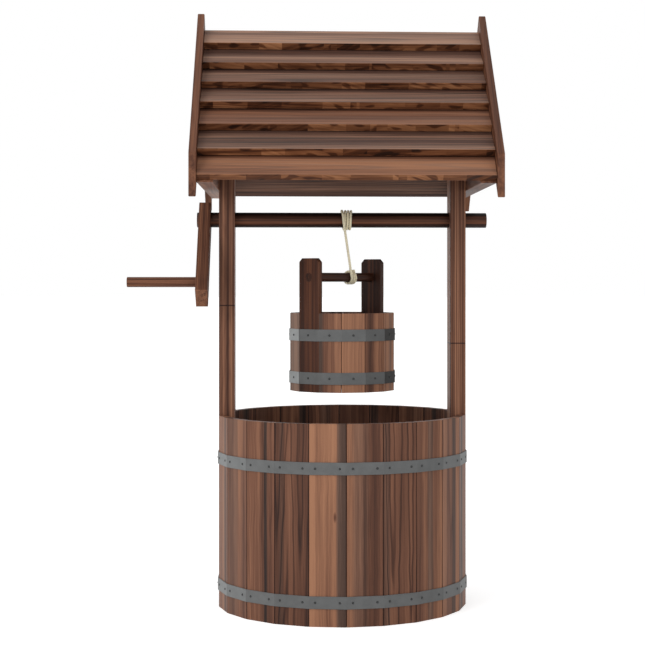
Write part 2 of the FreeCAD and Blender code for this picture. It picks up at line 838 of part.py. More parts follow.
def bucket_hoop(label, height):
    body = new_body(label)
    count = "sizes.bucket_staves"
    low = "%s - sizes.hoop_width / 2" % height
    high = "%s + sizes.hoop_width / 2" % height
    prism(body, count, "sizes.bucket_flat + sizes.hoop_thickness", low, high)
    prism(body, count, "sizes.bucket_flat", low, high, True)
    cut = bore_along(
        body,
        "YZ_Plane",
        "sizes.bucket_flat + sizes.hoop_thickness",
        "0",
        height,
        "sizes.screw_shank + 2 * sizes.screw_play",
        "sizes.hoop_thickness",
    )
    document.recompute()
    all_round(body, count, originals=[cut])
    turn_bucket(body)


def bucket_floor():
    body = new_body("bucket_floor")
    reach = (
        "sizes.bucket_flat - sizes.bucket_wall + sizes.bucket_groove - sizes.groove_play"
    )
    prism(body, "sizes.bucket_staves", reach, "sizes.bucket_floor_rise", BUCKET_FLOOR_TOP)
    turn_bucket(body)


def bucket_dowel():
    """The round rail between the ears, which the rope is tied to."""
    body = new_body("bucket_dowel")
    end = sketch_on(body, "YZ_Plane")
    circle(end, "0", "sizes.bail_rise", "sizes.bail_diameter")
    pad(body, end, "2 * sizes.bucket_flat", True)
    turn_bucket(body)


def unit(way):
    return way * (1 / way.Length)


def arc_to(start, apex, finish):
    """The arc whose tangents at both ends meet at apex, the same distance from each."""
    middle = (start + finish) * 0.5
    rise = apex - middle
    half = (finish - start).Length / 2
    angle = math.atan2(rise.Length, half)
    top = middle + unit(rise) * (half * math.tan(angle / 2))
    return Part.Arc(start, top, finish).toShape(), half / math.sin(angle)


def biarc(start, way, finish, last_way):
    """Two arcs that leave start along way and reach finish along last_way."""
    reach = finish - start
    ways = way + last_way
    square = ways.dot(ways) - 4
    slope = -2 * reach.dot(ways)
    root = math.sqrt(slope * slope - 4 * square * reach.dot(reach))
    length = (-slope - root) / (2 * square)
    first = start + way * length
    last = finish - last_way * length
    middle = (first + last) * 0.5
    one, one_radius = arc_to(start, first, middle)
    two, two_radius = arc_to(middle, last, finish)
    return [one, two], min(one_radius, two_radius)


def tube(label, edges, way, tightest):
    """A round tube along joined edges, with its volume set against section times length."""
    route = Part.Wire(edges)
    start = edges[0].Vertexes[0].Point
    radius = worth("sizes.rope_diameter") / 2
    section = Part.Wire([Part.Circle(start, way, radius).toShape()])
    shape = route.makePipeShell([section], True, False)
    expected = math.pi * radius * radius * route.Length
    print("%s: length %.1f, tightest arc %.2f, volume %.4f of section times length"
          % (label, route.Length, tightest, shape.Volume / expected))
    item = document.addObject("Part::Feature", label)
    item.Shape = shape
    node(item, label)
    return route


def least_gap(label, route, other=None):
    """Print how near a route's tube comes to itself, or to one that starts at its end."""
    thickness = worth("sizes.rope_diameter")
    step = 0.5
    skip = int(math.ceil(math.pi * thickness / step))
    points = route.discretize(Distance=step)
    against = points if other is None else other.discretize(Distance=step)
    least = None
    for index, point in enumerate(points):
        start = index + skip if other is None else max(0, 2 * skip - index)
        for near in against[start:]:
            apart = point.distanceToPoint(near)
            least = apart if least is None else min(least, apart)
    print("%s: least gap %.2f" % (label, least - thickness))


def rope():
    """The rope: turns on the crossbar, a straight drop and a hitch round the dowel.

    Its angles on the crossbar start at the top and run down the back.
    """
    diameter = worth("sizes.rope_diameter")
    wound = worth("sizes.bar_diameter / 2 + sizes.rope_diameter / 2 + sizes.rope_play")
    bar = Vector(0, 0, worth(BAR_HEIGHT))
    pitch = worth("sizes.winding_pitch")
    first = worth("sizes.winding_first")

    def on_bar(angle, across, climb, lift=0):
        turn = math.radians(angle)
        reach = wound + lift
        point = bar + Vector(across, reach * math.sin(turn), reach * math.cos(turn))
        way = unit(Vector(climb, wound * math.cos(turn), -wound * math.sin(turn)))
        return point, way

    half_turn = 180
    quarter = 90
    climb = pitch / (2 * math.pi)
    stations = []
    for index in range(int(worth("sizes.winding_quarters")) + 1):
        angle = half_turn + quarter * index
        stations.append(on_bar(angle, first + pitch * (angle - 360) / 360, climb))
    edges = []
    tightest = wound
    point, way = stations[0]
    joint = point - way * diameter
    joint_way = way
    edges.append(Part.LineSegment(joint, point).toShape())
    for (start, start_way), (finish, finish_way) in zip(stations, stations[1:]):
        arcs, radius = biarc(start, start_way, finish, finish_way)
        edges.extend(arcs)
        tightest = min(tightest, radius)
    point, way = stations[-1]
    edges.append(Part.LineSegment(point, point + way * diameter).toShape())
    winding = tube("rope_winding", edges, joint_way, tightest)
    least_gap("rope_winding", winding)

    along = Vector(
        math.cos(math.radians(worth("sizes.bucket_turn"))),
        math.sin(math.radians(worth("sizes.bucket_turn"))),
        0,
    )
    aside = Vector(-along.y, along.x, 0)
    up = Vector(0, 0, 1)
    tied = worth("sizes.bail_diameter / 2 + sizes.rope_diameter / 2 + sizes.rope_play")
    middle = along * worth("sizes.hitch_offset")
    middle = middle + up * worth(BAR_HEIGHT + " - sizes.bucket_hang")

    def on_dowel(angle, advance, slant):
        turn = math.radians(angle)
        point = middle + along * advance
        point = point - aside * (tied * math.cos(turn)) - up * (tied * math.sin(turn))
        way = along * slant + aside * (tied * math.sin(turn)) - up * (tied * math.cos(turn))
        return point, unit(way)

    slant = pitch / (2 * math.pi)
    turns = [
        on_dowel(half_turn / 2 * (index + 1), pitch * index / 4, slant)
        for index in range(int(worth("sizes.hitch_quarters")) + 1)
    ]
    arrival, arrival_way = on_dowel(0, -0.55 * pitch, 3 * slant)
    turns[:0] = [(arrival, arrival_way), on_dowel(45, -0.2 * pitch, 2 * slant)]

    lean = math.atan2(arrival.y, bar.z - arrival.z)
    far = math.hypot(arrival.y, bar.z - arrival.z)
    lifted = worth("sizes.drop_front_lift")
    tangent = math.degrees(lean + math.asin((wound + lifted) / far))
    front = -quarter - tangent
    leave, _ = on_bar(front, worth("sizes.drop_front"), 0, lifted)
    down = unit(arrival - leave)
    knot = arrival - down * worth("sizes.hitch_lead")
    top, _ = on_bar(0, worth("sizes.drop_top"), 0)
    brow, brow_way = on_bar(front / 2, worth("sizes.drop_brow"), 0, worth("sizes.drop_brow_lift"))
    back, _ = on_bar(quarter, worth("sizes.drop_back"), 0)
    back = back + Vector(0, worth("sizes.drop_back_out"), worth("sizes.drop_back_up"))
    route = [
        (joint, joint_way * -1),
        (back, unit(Vector(-0.12, 0, 1))),
        (top, Vector(0, -1, 0)),
        (brow, unit(brow_way * -1 + Vector(0.1, -0.1, 0.1))),
        (leave, down),
    ]
    edges = []
    tightest = wound
    for (start, start_way), (finish, finish_way) in zip(route, route[1:]):
        arcs, radius = biarc(start, start_way, finish, finish_way)
        edges.extend(arcs)
        tightest = min(tightest, radius)
    edges.append(Part.LineSegment(leave, knot).toShape())
    drop = tube("rope_drop", edges, joint_way * -1, tightest)
    least_gap("rope_drop to rope_winding", drop, winding)

    edges = [Part.LineSegment(knot, knot + down * diameter).toShape()]
    stations = [(knot + down * diameter, down)] + turns
    tightest = tied
    for (start, start_way), (finish, finish_way) in zip(stations, stations[1:]):
        arcs, radius = biarc(start, start_way, finish, finish_way)
        edges.extend(arcs)
        tightest = min(tightest, radius)
    point, way = stations[-1]
    edges.append(Part.LineSegment(point, point + way * diameter).toShape())
    hitch = tube("rope_hitch", edges, down, tightest)
    least_gap("rope_hitch", hitch)


barrel_staves()
barrel_hoop("upper_barrel_hoop", "sizes.upper_hoop_height")
barrel_hoop("lower_barrel_hoop", "sizes.lower_hoop_height")
hoop_screws(
    "barrel_screws",
    "sizes.stave_count",
    "sizes.barrel_flat + sizes.hoop_thickness",
    ("-" + SCREW_ACROSS, SCREW_ACROSS),
    ("sizes.upper_hoop_height", "sizes.lower_hoop_height"),
    "sizes.screw_reach",
)
barrel_floor()
floor_battens()

for side_name, joint_height in (
    ("left", "sizes.left_joint_height"),
    ("right", "sizes.right_joint_height"),
):
    lower_post(side_name, joint_height)
    upper_post(side_name, joint_height)
    tie_rail(side_name)
    for end_name in ("front", "rear"):
        rafter(side_name, end_name)
        barge_board(side_name, end_name)
post_dowels()
wood_screws("leg_screws", LEG_SCREWS, POST_INNER, "sizes.leg_screw_reach")
wood_screws("rail_screws", RAIL_SCREWS, POST_INNER, "sizes.rail_screw_reach")
wood_screws(
    "barge_screws",
    barge_screw_places("front") + barge_screw_places("rear"),
    "(sizes.barrel_flat + sizes.rail_thickness + sizes.barge_thickness"
    " - sizes.barge_screw_reach)",
    "sizes.barge_screw_reach",
)

for end_name in ("front", "rear"):
    for slat_number in range(1, len(SLAT_EDGES) + 1):
        slat(end_name, slat_number)

crossbar()
crank_arm()
crank_handle()
crank_pin()

bucket_staves()
ear("front")
ear("rear")
bucket_hoop("upper_bucket_hoop", "sizes.bucket_upper_hoop")
bucket_hoop("lower_bucket_hoop", "sizes.bucket_lower_hoop")
bucket_floor()
bucket_dowel()
turn_bucket(
    hoop_screws(
        "bucket_screws",
        "sizes.bucket_staves",
        "sizes.bucket_flat + sizes.hoop_thickness",
        ("0",),
        ("sizes.bucket_upper_hoop", "sizes.bucket_lower_hoop"),
        "sizes.bucket_screw_reach",
    )
)
document.recompute()
rope()

# Nothing is written unless every object and every sub-part is sound.
document.recompute()
for item in document.Objects:
    if "Invalid" in item.State or "Error" in item.State:
        raise RuntimeError("%s failed: %s" % (item.Label, item.State))
for item in nodes:
    if item.Shape.isNull() or not item.Shape.isValid():
        raise RuntimeError("%s has no sound shape" % item.Label)

os.makedirs("parts", exist_ok=True)
for item in nodes:
    item.Shape.exportStep("parts/%s.step" % item.Label)
    print(item.Label, len(item.Shape.Solids), "solids, %.0f mm3" % item.Shape.Volume)
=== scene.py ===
# %% [markdown]
# Wishing well planter, dressed for the camera. The solids of the well come packed from the
# workshop drawing, already at their real size in metres: +Z is up, the front faces -Y and
# the origin is the middle of the base. This lesson lays the rope as real strands, gives
# each piece of wood and steel its finish, and sets up a plain studio.

# %% Load the solids
import functools
import math

import bmesh
import bpy
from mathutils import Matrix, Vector


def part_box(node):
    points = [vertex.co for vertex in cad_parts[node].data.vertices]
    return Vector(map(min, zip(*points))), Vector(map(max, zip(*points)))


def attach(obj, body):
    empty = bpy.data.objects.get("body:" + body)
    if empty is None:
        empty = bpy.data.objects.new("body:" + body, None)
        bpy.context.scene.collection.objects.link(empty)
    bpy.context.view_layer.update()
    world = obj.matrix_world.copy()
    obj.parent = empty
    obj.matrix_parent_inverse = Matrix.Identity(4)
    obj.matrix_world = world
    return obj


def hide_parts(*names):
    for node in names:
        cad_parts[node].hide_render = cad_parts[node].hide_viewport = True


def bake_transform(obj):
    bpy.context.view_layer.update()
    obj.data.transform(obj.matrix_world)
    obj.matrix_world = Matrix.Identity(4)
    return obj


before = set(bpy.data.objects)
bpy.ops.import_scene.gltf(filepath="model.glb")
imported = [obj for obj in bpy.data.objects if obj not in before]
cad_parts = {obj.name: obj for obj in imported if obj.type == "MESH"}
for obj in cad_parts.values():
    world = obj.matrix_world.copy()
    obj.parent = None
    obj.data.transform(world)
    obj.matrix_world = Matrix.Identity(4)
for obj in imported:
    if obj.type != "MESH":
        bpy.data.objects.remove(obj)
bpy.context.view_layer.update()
MM = 0.001
print("pieces from the drawing:", len(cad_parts))

# %% [markdown]
# The camera stands 3.1 m in front of the well and a little to its left, 61 cm above the
# ground, and looks level. A long lens keeps the posts upright and parallel. The shift
# moves the picture and not the camera, as the front of a view camera does.

# %% Camera
lens = bpy.data.cameras.new("camera")
lens.lens = 92.0
lens.sensor_width = 36.0
lens.shift_x = -0.0850
lens.shift_y = -0.0643
camera = bpy.data.objects.new("camera", lens)
camera.location = (-0.0981, -3.1446, 0.6120)
camera.rotation_euler = (math.radians(90), 0, math.radians(-3.006))
bpy.context.scene.collection.objects.link(camera)
bpy.context.scene.camera = camera
print("camera %.2f m from the well's middle" % camera.location.length)

# %% [markdown]
# The rope is laid cotton: three strands twisted round each other. Its line comes first, as
# one smooth spline for each of three stretches: the turns on the crossbar, the drop to the
# bucket, and the hitch round the bucket's dowel. They are three because the turns go round
# with the bar, the drop swings, and the hitch rises with the bucket.

# %% The rope's measures
ROPE = 5.0 * MM
BAR_HEIGHT = 728 * MM
# From the axis of the bar, and of the bucket's dowel, to the middle of the rope on it.
ON_BAR = 16.97 * MM
ON_DOWEL = 11.3 * MM
# From one turn to the next, and from one point of a turn to the next in degrees.
PITCH = 5.4 * MM
STEP = 30
# A spline of order 3 runs inside its control points, so those of a turn stand further out.
FULLER = 1 / math.cos(math.radians(STEP / 2))


def on_bar(angle, across, reach=ON_BAR * FULLER):
    """A point round the crossbar. The angle starts at the top and runs down the back."""
    turn = math.radians(angle)
    return Vector((across, reach * math.sin(turn), BAR_HEIGHT + reach * math.cos(turn)))


print("the points of a turn stand %.2f mm from the bar's axis" % (ON_BAR * FULLER / MM))

# %% [markdown]
# Turns are points in a loop, twelve to the circle, one pitch further along each time round.
# The winding begins under the bar, rises in front and ends at the back.

# %% Line of the winding
FIRST_TURN = 5.8 * MM
START, END = 180, 1170


def turn_place(angle):
    """How far along the bar the winding is at an angle."""
    return FIRST_TURN + PITCH * (angle - 360) / 360


joint = on_bar(START, turn_place(START), ON_BAR) + Vector((0, ROPE, 0))
winding_points = [joint]
winding_points += [on_bar(angle, turn_place(angle)) for angle in range(START, END + 1, STEP)]
last_way = (winding_points[-1] - winding_points[-2]).normalized()
winding_points.append(on_bar(END, turn_place(END), ON_BAR) + last_way * ROPE)
print("winding: %d points" % len(winding_points))

# %% [markdown]
# The drop leaves the first turn under the bar, comes up the back, crosses the top left of
# the turns, comes forward over the first of them, and hangs straight down to the bucket's
# dowel. The bucket hangs turned, so its dowel has directions of its own.

# %% The bucket's dowel
BUCKET_TURN = 48.76
ALONG = Vector((math.cos(math.radians(BUCKET_TURN)), math.sin(math.radians(BUCKET_TURN)), 0))
ASIDE = Vector((-ALONG.y, ALONG.x, 0))
UP = Vector((0, 0, 1))
# The hitch sits on the dowel's axis, a little off its middle.
HITCH = ALONG * (17.8 * MM) + UP * (619.1 * MM)


def on_dowel(angle, advance, reach=ON_DOWEL * FULLER):
    """A point round the bucket's dowel. The angle starts at the side facing the front."""
    turn = math.radians(angle)
    return HITCH + ALONG * advance - ASIDE * reach * math.cos(turn) - UP * reach * math.sin(turn)


print("the hitch is %.0f mm under the bar" % ((BAR_HEIGHT - HITCH.z) / MM))

# %% [markdown]
# Nine stations carry the drop round the bar. Then two pairs of points in line keep the rest
# straight, as the bucket's weight does.

# %% Line of the drop
# Angle on the bar, place along it and height over its turns, in degrees and millimetres.
DROP_STATIONS = ((150, 2.7, 0.3), (120, 1.9, 1.2), (90, 1.1, 1.6), (60, 0.1, 0.8), (30, -0.7, 0.2),
                 (0, -1.1, 0.2), (-25, -0.6, 1.4), (-50, 0.3, 3.2), (-75, 1.3, 4.6))
LEAVE_ANGLE, LEAVE_PLACE, LEAVE_HEIGHT = -103.69, 2.1 * MM, 5.2 * MM
# How many turns off the hitch's first turn the rope arrives, and how far above that place
# the drop ends and the hitch begins.
ARRIVAL_TURN = -0.55
KNOT_RISE = 16 * MM
leave = on_bar(LEAVE_ANGLE, LEAVE_PLACE, ON_BAR + LEAVE_HEIGHT)
arrival = on_dowel(0, ARRIVAL_TURN * PITCH, ON_DOWEL)
down = (arrival - leave).normalized()
knot = arrival - down * KNOT_RISE
straight = down * 6 * ROPE
drop_points = [joint]
drop_points += [on_bar(angle, across * MM, (ON_BAR + height * MM) * FULLER)
                for angle, across, height in DROP_STATIONS]
drop_points += [leave, leave + straight, knot - straight, knot]
print("drop: from z %.3f to z %.3f" % (leave.z, knot.z))

# %% [markdown]
# The hitch is two and a half turns round the dowel. The first quarter is drawn out, because
# the rope arrives hanging straight and only then bends under the dowel.

# %% Line of the hitch
HITCH_START, HITCH_END = 90, 990
LEAD_IN = ((0, ARRIVAL_TURN), (30, -0.32), (60, -0.14))


def hitch_place(angle):
    """How far along the dowel the hitch is at an angle."""
    return PITCH * (angle - HITCH_START) / 360


hitch_points = [knot, arrival - down * ROPE]
hitch_points += [on_dowel(angle, turns * PITCH) for angle, turns in LEAD_IN]
hitch_points += [on_dowel(angle, hitch_place(angle))
                 for angle in range(HITCH_START, HITCH_END + 1, STEP)]
last_way = (hitch_points[-1] - hitch_points[-2]).normalized()
hitch_points.append(on_dowel(HITCH_END, hitch_place(HITCH_END), ON_DOWEL) + last_way * ROPE)
print("hitch: %d points" % len(hitch_points))

# %% [markdown]
# Each line is a NURBS curve. Blender gives its points back when the curve is turned into a
# mesh without a bevel.


# %% From points to lines
def add_piece(name, data):
    """A new object in the scene, at the origin."""
    piece = bpy.data.objects.new(name, data)
    bpy.context.scene.collection.objects.link(piece)
    return piece


def curve_to_mesh(curve):
    """The mesh that Blender makes of a curve, with its bevel if it has one."""
    holder = add_piece(curve.name, curve)
    mesh = bpy.data.meshes.new_from_object(holder)
    bpy.data.objects.remove(holder)
    return mesh


def spline_line(name, points):
    """The smooth line that a NURBS curve of order 3 makes of its control points."""
    curve = bpy.data.curves.new(name, "CURVE")
    curve.dimensions = "3D"
    curve.resolution_u = 12
    spline = curve.splines.new("NURBS")
    spline.points.add(len(points) - 1)
    for point, place in zip(spline.points, points):
        point.co = (*place, 1)
    spline.order_u = 3
    spline.use_endpoint_u = True
    return [vertex.co.copy() for vertex in curve_to_mesh(curve).vertices]


winding_line = spline_line("winding_line", winding_points)
drop_line = spline_line("drop_line", drop_points)
hitch_line = spline_line("hitch_line", hitch_points)
print("points on the three lines:", len(winding_line), len(drop_line), len(hitch_line))

# %% [markdown]
# A line's points are set an even step apart, so that the twist of the strands is even too.
# At each point two directions square to the line say where round it a strand goes. They are
# carried along the line without turning about it, so that only the lay twists the strands.

# %% Even points and their directions
POINT_STEP = 1.0 * MM


def evenly(line, step):
    """The same line with its points a step apart."""
    even, behind = [line[0].copy()], 0.0
    for start, finish in zip(line, line[1:]):
        length = (finish - start).length
        while length and behind + length >= step:
            start = start.lerp(finish, (step - behind) / length)
            even.append(start.copy())
            length = (finish - start).length
            behind = 0.0
        behind += length
    even[-1] = line[-1].copy()
    return even


def carried_frames(line, side):
    """A direction square to the line at each point, carried along it without twisting."""
    frames = []
    for index, point in enumerate(line):
        ahead = (line[min(index + 1, len(line) - 1)] - line[max(index - 1, 0)]).normalized()
        side = (side - ahead * side.dot(ahead)).normalized()
        frames.append((point, side, ahead.cross(side)))
    return frames


print("even points on the winding:", len(evenly(winding_line, POINT_STEP)))

# %% [markdown]
# A strand is a curve with a round bevel that winds about the line. Three strands that fill
# a round rope are each a little under half as thick as the rope. The twine of a whipping is
# one thin thread, wound close about the whole rope.

# %% Threads about a line
STRAND = ROPE * 0.49
LAY = 15 * MM


def helices(name, frames, count, reach, thickness, lay, start=0.0):
    """Round threads that wind about a line: each goes round once in the length of lay.

    It gives the piece, and the turn at which the last thread ends.
    """
    curve = bpy.data.curves.new(name, "CURVE")
    curve.dimensions = "3D"
    curve.bevel_depth = thickness / 2
    curve.bevel_resolution = 2
    curve.use_fill_caps = True
    step = (frames[1][0] - frames[0][0]).length
    for thread in range(count):
        spline = curve.splines.new("POLY")
        spline.points.add(len(frames) - 1)
        for index, (point, side, other) in enumerate(frames):
            turn = start + 2 * math.pi * (thread / count + index * step / lay)
            place = point + (side * math.cos(turn) + other * math.sin(turn)) * reach
            spline.points[index].co = (*place, 1)
    mesh = curve_to_mesh(curve)
    mesh.name = name
    for face in mesh.polygons:
        face.use_smooth = True
    return add_piece(name, mesh), turn


print("strands %.2f mm thick, one turn in %.0f mm" % (STRAND / MM, LAY / MM))

# %% [markdown]
# The whipping is thin twine round the last few millimetres of a rope, so that it can't fray.
# The winding's cut end gets one here, and the hitch's when the hitch is laid.

# %% Whip a cut end
TWINE, TWINE_PITCH = 0.7 * MM, 0.75 * MM
TWINE_STEP = 0.12 * MM
# The steps before the rope's end at which the twine starts and stops.
TWINE_FROM, TWINE_TO = 64, 14
rope_pieces = []


def whipping(name, line, body):
    """Twine wound round the end of a line, riding with a body."""
    even = evenly(line, TWINE_STEP)[-TWINE_FROM:-TWINE_TO]
    frames = carried_frames(even, (even[1] - even[0]).orthogonal())
    piece, _ = helices(name, frames, 1, ROPE / 2 + 0.1 * MM, TWINE, TWINE_PITCH)
    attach(piece, body)
    rope_pieces.append(piece)
    return piece


winding_end = whipping("winding_whipping", winding_line, "windlass")
print("turns of twine: %.0f" % ((TWINE_FROM - TWINE_TO) * TWINE_STEP / TWINE_PITCH))

# %% [markdown]
# The winding rides with the windlass and the hitch with its own body. The drop's top stays
# on the bar while its foot goes with the bucket; here the drop is laid where it hangs and
# rides with no body. The drop and the hitch are one rope, so the hitch takes up the drop's twist.


# %% Lay the three stretches
def laid_rope(name, line, body, node, foot=None, side=None, start=0.0):
    """Strands along a line. They ride with a body, or, when a foot is given, stay where they are
    laid.
    """
    side = side or (line[1] - line[0]).orthogonal()
    frames = carried_frames(evenly(line, POINT_STEP), side)
    piece, last_turn = helices(name, frames, 3, (ROPE - STRAND) / 2, STRAND, LAY, start)
    if foot:
        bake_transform(piece)
    else:
        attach(piece, body)
    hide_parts(node)
    rope_pieces.append(piece)
    return frames, last_turn % (2 * math.pi)


laid_rope("winding_strands", winding_line, "windlass", "rope_winding")
frames, twist = laid_rope("drop_strands", drop_line, "rope", "rope_drop",
                          foot="hitch")
hitch_end = whipping("hitch_whipping", hitch_line, "hitch")
laid_rope("hitch_strands", hitch_line, "hitch", "rope_hitch",
          side=frames[-1][1], start=twist)

# %% [markdown]
# Every finish is built from nodes. One small function adds a node of any kind, sets its
# properties, and fills its sockets with values or with other nodes' outputs. Colours are
# written as the hex codes that a screen shows, and turned into the linear light that the
# renderer mixes.


# %% Helpers for finishes
def linear(code):
    """An sRGB hex colour as linear light."""
    parts = [int(code[i:i + 2], 16) / 255 for i in (1, 3, 5)]
    return [part / 12.92 if part <= 0.04045 else ((part + 0.055) / 1.055) ** 2.4
            for part in parts] + [1]


def fill(node, sockets):
    """Fill sockets, in order or by key, with values or outputs. A node gives its first."""
    for key, value in sockets.items() if isinstance(sockets, dict) else enumerate(sockets):
        if isinstance(value, bpy.types.Node):
            value = value.outputs[0]
        if isinstance(value, bpy.types.NodeSocket):
            node.id_data.links.new(value, node.inputs[key])
        else:
            node.inputs[key].default_value = value


def put(tree, kind, sockets=(), stops=(), **settings):
    """Add a node, set its properties and its ramp's stops, and fill its sockets."""
    node = tree.nodes.new("ShaderNode" + kind)
    for name, value in settings.items():
        setattr(node, name, value)
    while stops and len(node.color_ramp.elements) < len(stops):
        node.color_ramp.elements.new(1)
    for index, (place, colour) in enumerate(stops):
        node.color_ramp.elements[index].position = place
        node.color_ramp.elements[index].color = linear(colour) if isinstance(colour, str) else colour
    fill(node, sockets)
    return node


def new_finish(name, pieces):
    """A new material on some pieces: what adds nodes to it, and its shader."""
    material = bpy.data.materials.new(name)
    material.use_nodes = True
    for piece in pieces:
        piece.data.materials.clear()
        piece.data.materials.append(material)
    return functools.partial(put, material.node_tree), material.node_tree.nodes["Principled BSDF"]


print("a screen's #808080 is %.3f in linear light" % linear("#808080")[0])

# %% [markdown]
# The wood is fir, planed, heat-darkened and oiled: red-brown, with grey-brown heart streaks.
# Each palette has four tones, from the darkest line to the lightest band. They differ as
# boards do: golden, red, grey, dark or almost black.

# %% Tones of oiled fir
FIR = ("#28150E", "#543426", "#744D3A", "#A07155")
GREY_FIR = ("#281914", "#533930", "#745445", "#A37D67")
GOLD_FIR = ("#1F0C04", "#4E2B18", "#764A2F", "#AB7650")
DARK_FIR = ("#160A05", "#31180D", "#4B291A", "#6F452C")
BLACK_FIR = ("#0C0504", "#23110B", "#43261A", "#70452F")
RED_FIR = ("#24120B", "#492A1C", "#66402D", "#8C5D42")
HEART = ("#221917", "#51443C", "#6D5D53", "#917C6E")
# Where a palette's four tones sit on the way from 0 to 1, and the tone of a plain spot.
TONE_PLACES = (0.08, 0.38, 0.58, 0.86)
PLAIN_TONE = 0.52


def toned(add, tone, tones):
    """The colour of a tone in a palette."""
    return add("ValToRGB", [tone], stops=list(zip(TONE_PLACES, tones)))


print("fir goes from %s to %s" % (FIR[0], FIR[-1]))

# %% [markdown]
# Seen close, the wood has four things on top of each other: soft bands a few centimetres
# wide, veins of a few millimetres, the thin lines of the growth rings, and fibres a fraction
# of a millimetre wide, drawn as coarse as they need to show. All are noise stretched a long
# way along the grain. The ring lines are the contours of a smooth noise, because contours
# close to long arches where the noise has its hills, just as the rings do where the saw ran
# off them.

# %% Grain
# Widths of a fibre, and of a hill that the ring lines go round, in millimetres.
FIBRE_WIDTH, HILL_WIDTH = 1.7, 44


def stretched(add, space, long, wide, detail, shift):
    """Noise as a number, whose spots are so many millimetres long and wide."""
    scale = (1 / (long * MM), 1 / (wide * MM), 1 / (wide * MM))
    scaled = add("Mapping", {"Vector": space, "Location": (shift, shift, shift), "Scale": scale})
    return add("TexNoise", {"Vector": scaled, "Scale": 1.0, "Detail": detail, "Roughness": 0.55})


def ring_lines(add, space, arch, rings, fine):
    """The growth rings, as 1 on their lines and 0 between them."""
    contour = stretched(add, space, long=arch, wide=HILL_WIDTH, detail=1.2, shift=7.7)
    phase = add("Math", [contour, 2 * math.pi * rings], operation="MULTIPLY")
    wave = add("Math", [phase], operation="SINE")
    crests = add("Math", [wave, 0.5, 0.5], operation="MULTIPLY_ADD")
    return add("Math", [crests, fine], operation="POWER")


print("fibres %.1f mm wide, and ring lines round hills %d mm wide" % (FIBRE_WIDTH, HILL_WIDTH))

# %% [markdown]
# Oil leaves the wood satin, and a little rougher on the light fibres than on the dark ones.
# The ring lines stand a little below the rest. Heart wood has greyer tones, and its ring
# lines are less dark.

# %% Oiled fir
LINE_DEPTH, HEART_LINE_DEPTH = 0.34, 0.10
FIBRE_WEIGHT = 0.45
# How far below the rest a ring line stands, where fibres are up to 1 high.
LINE_SINK = 0.8
# How much of its bands a patch with tones of its own loses.
PATCH_CALM = 0.85
SMOOTHEST, ROUGHER = 0.42, 0.22


def figured_wood(add, shader, space, tones=FIR, band=32, lines=0.4, shade=0.0, vein=0.5,
                 arch=520, rings=14, fine=3.0, heart=0.0, heart_lines=0.0, patch=None):
    """Colour, gloss and relief of oiled wood, with the grain along X of the space.

    band is the width of the soft bands and arch the length of the rings' arches, both in
    millimetres. rings is how many ring lines the noise can cross, and fine how thin they are.
    heart is how far the wood turns to heartwood's greyer tones, and heart_lines how far its
    ring lines do. patch is (how far, tones): where the surface has tones of its own and no
    bands.
    """
    bands = stretched(add, space, long=1500, wide=band, detail=2.0, shift=3.1)
    veins = stretched(add, space, long=900, wide=band / 5, detail=2.0, shift=5.3)
    fibre = stretched(add, space, long=110, wide=FIBRE_WIDTH, detail=3.0, shift=1.9)
    line = add("Math", [ring_lines(add, space, arch, rings, fine), lines], operation="MULTIPLY")
    calm = add("Math", [patch[0], -PATCH_CALM, 1.0], operation="MULTIPLY_ADD") if patch else 1.0
    tone = shade
    for part, weight, share in ((bands, 1.0, calm), (veins, vein, calm), (fibre, FIBRE_WEIGHT, 1.0)):
        part = add("Math", [part, 0.5], operation="SUBTRACT")
        part = add("Math", [part, share], operation="MULTIPLY")
        tone = add("Math", [part, weight, tone], operation="MULTIPLY_ADD")
    depth = LINE_DEPTH + (HEART_LINE_DEPTH - LINE_DEPTH) * heart_lines
    lined = add("Math", [line, -depth, PLAIN_TONE], operation="MULTIPLY_ADD")
    tone = add("Math", [tone, lined], operation="ADD")
    greyer = add("Math", [line, heart_lines], operation="MULTIPLY")
    greyer = add("Math", [greyer, heart], operation="MAXIMUM")
    # A Mix node's two colours are its inputs 6 and 7, and the mixed one is its output 2.
    colour = add("Mix", {0: greyer, 6: toned(add, tone, tones), 7: toned(add, tone, HEART)},
                 data_type="RGBA").outputs[2]
    if patch:
        colour = add("Mix", {0: patch[0], 6: colour, 7: toned(add, tone, patch[1])},
                     data_type="RGBA").outputs[2]
    height = add("Math", [line, -LINE_SINK, fibre], operation="MULTIPLY_ADD")
    fill(shader, {
        "Base Color": colour,
        "Roughness": add("Math", [fibre, ROUGHER, SMOOTHEST], operation="MULTIPLY_ADD"),
        "Normal": add("Bump", {"Height": height, "Strength": 0.35, "Distance": 0.25 * MM}),
        "Specular IOR Level": 0.2,
    })


print("oiled fir's roughness: %.2f to %.2f" % (SMOOTHEST, SMOOTHEST + ROUGHER))

# %% [markdown]
# A board's grain runs along the board, so a Mapping node turns the noise to lie along it.
# It also moves each board to a stretch of noise of its own, which its seed picks, so that no
# two boards look cut from one. The bucket's ears and dowel are darker than the rest, and the
# crank's handle is redder.

# %% Wood of a board
SLOPE = 44.37
GRAIN = {
    "X": (0, 0, 0),
    "Y": (0, 0, -90),
    "Z": (0, 90, 0),
    "front slope": (-SLOPE, 0, -90),
    "rear slope": (SLOPE, 0, -90),
    "arm": (-48.77, 0, -90),
    "dowel": (0, 0, -BUCKET_TURN),
}
# How far one seed moves a board through the noise, in metres.
SEED_MOVES = (0.83, 0.37, 0.59)


def new_wood(name):
    """New oiled fir on one piece of the drawing."""
    return new_finish("oiled_fir_" + name, [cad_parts[name]])


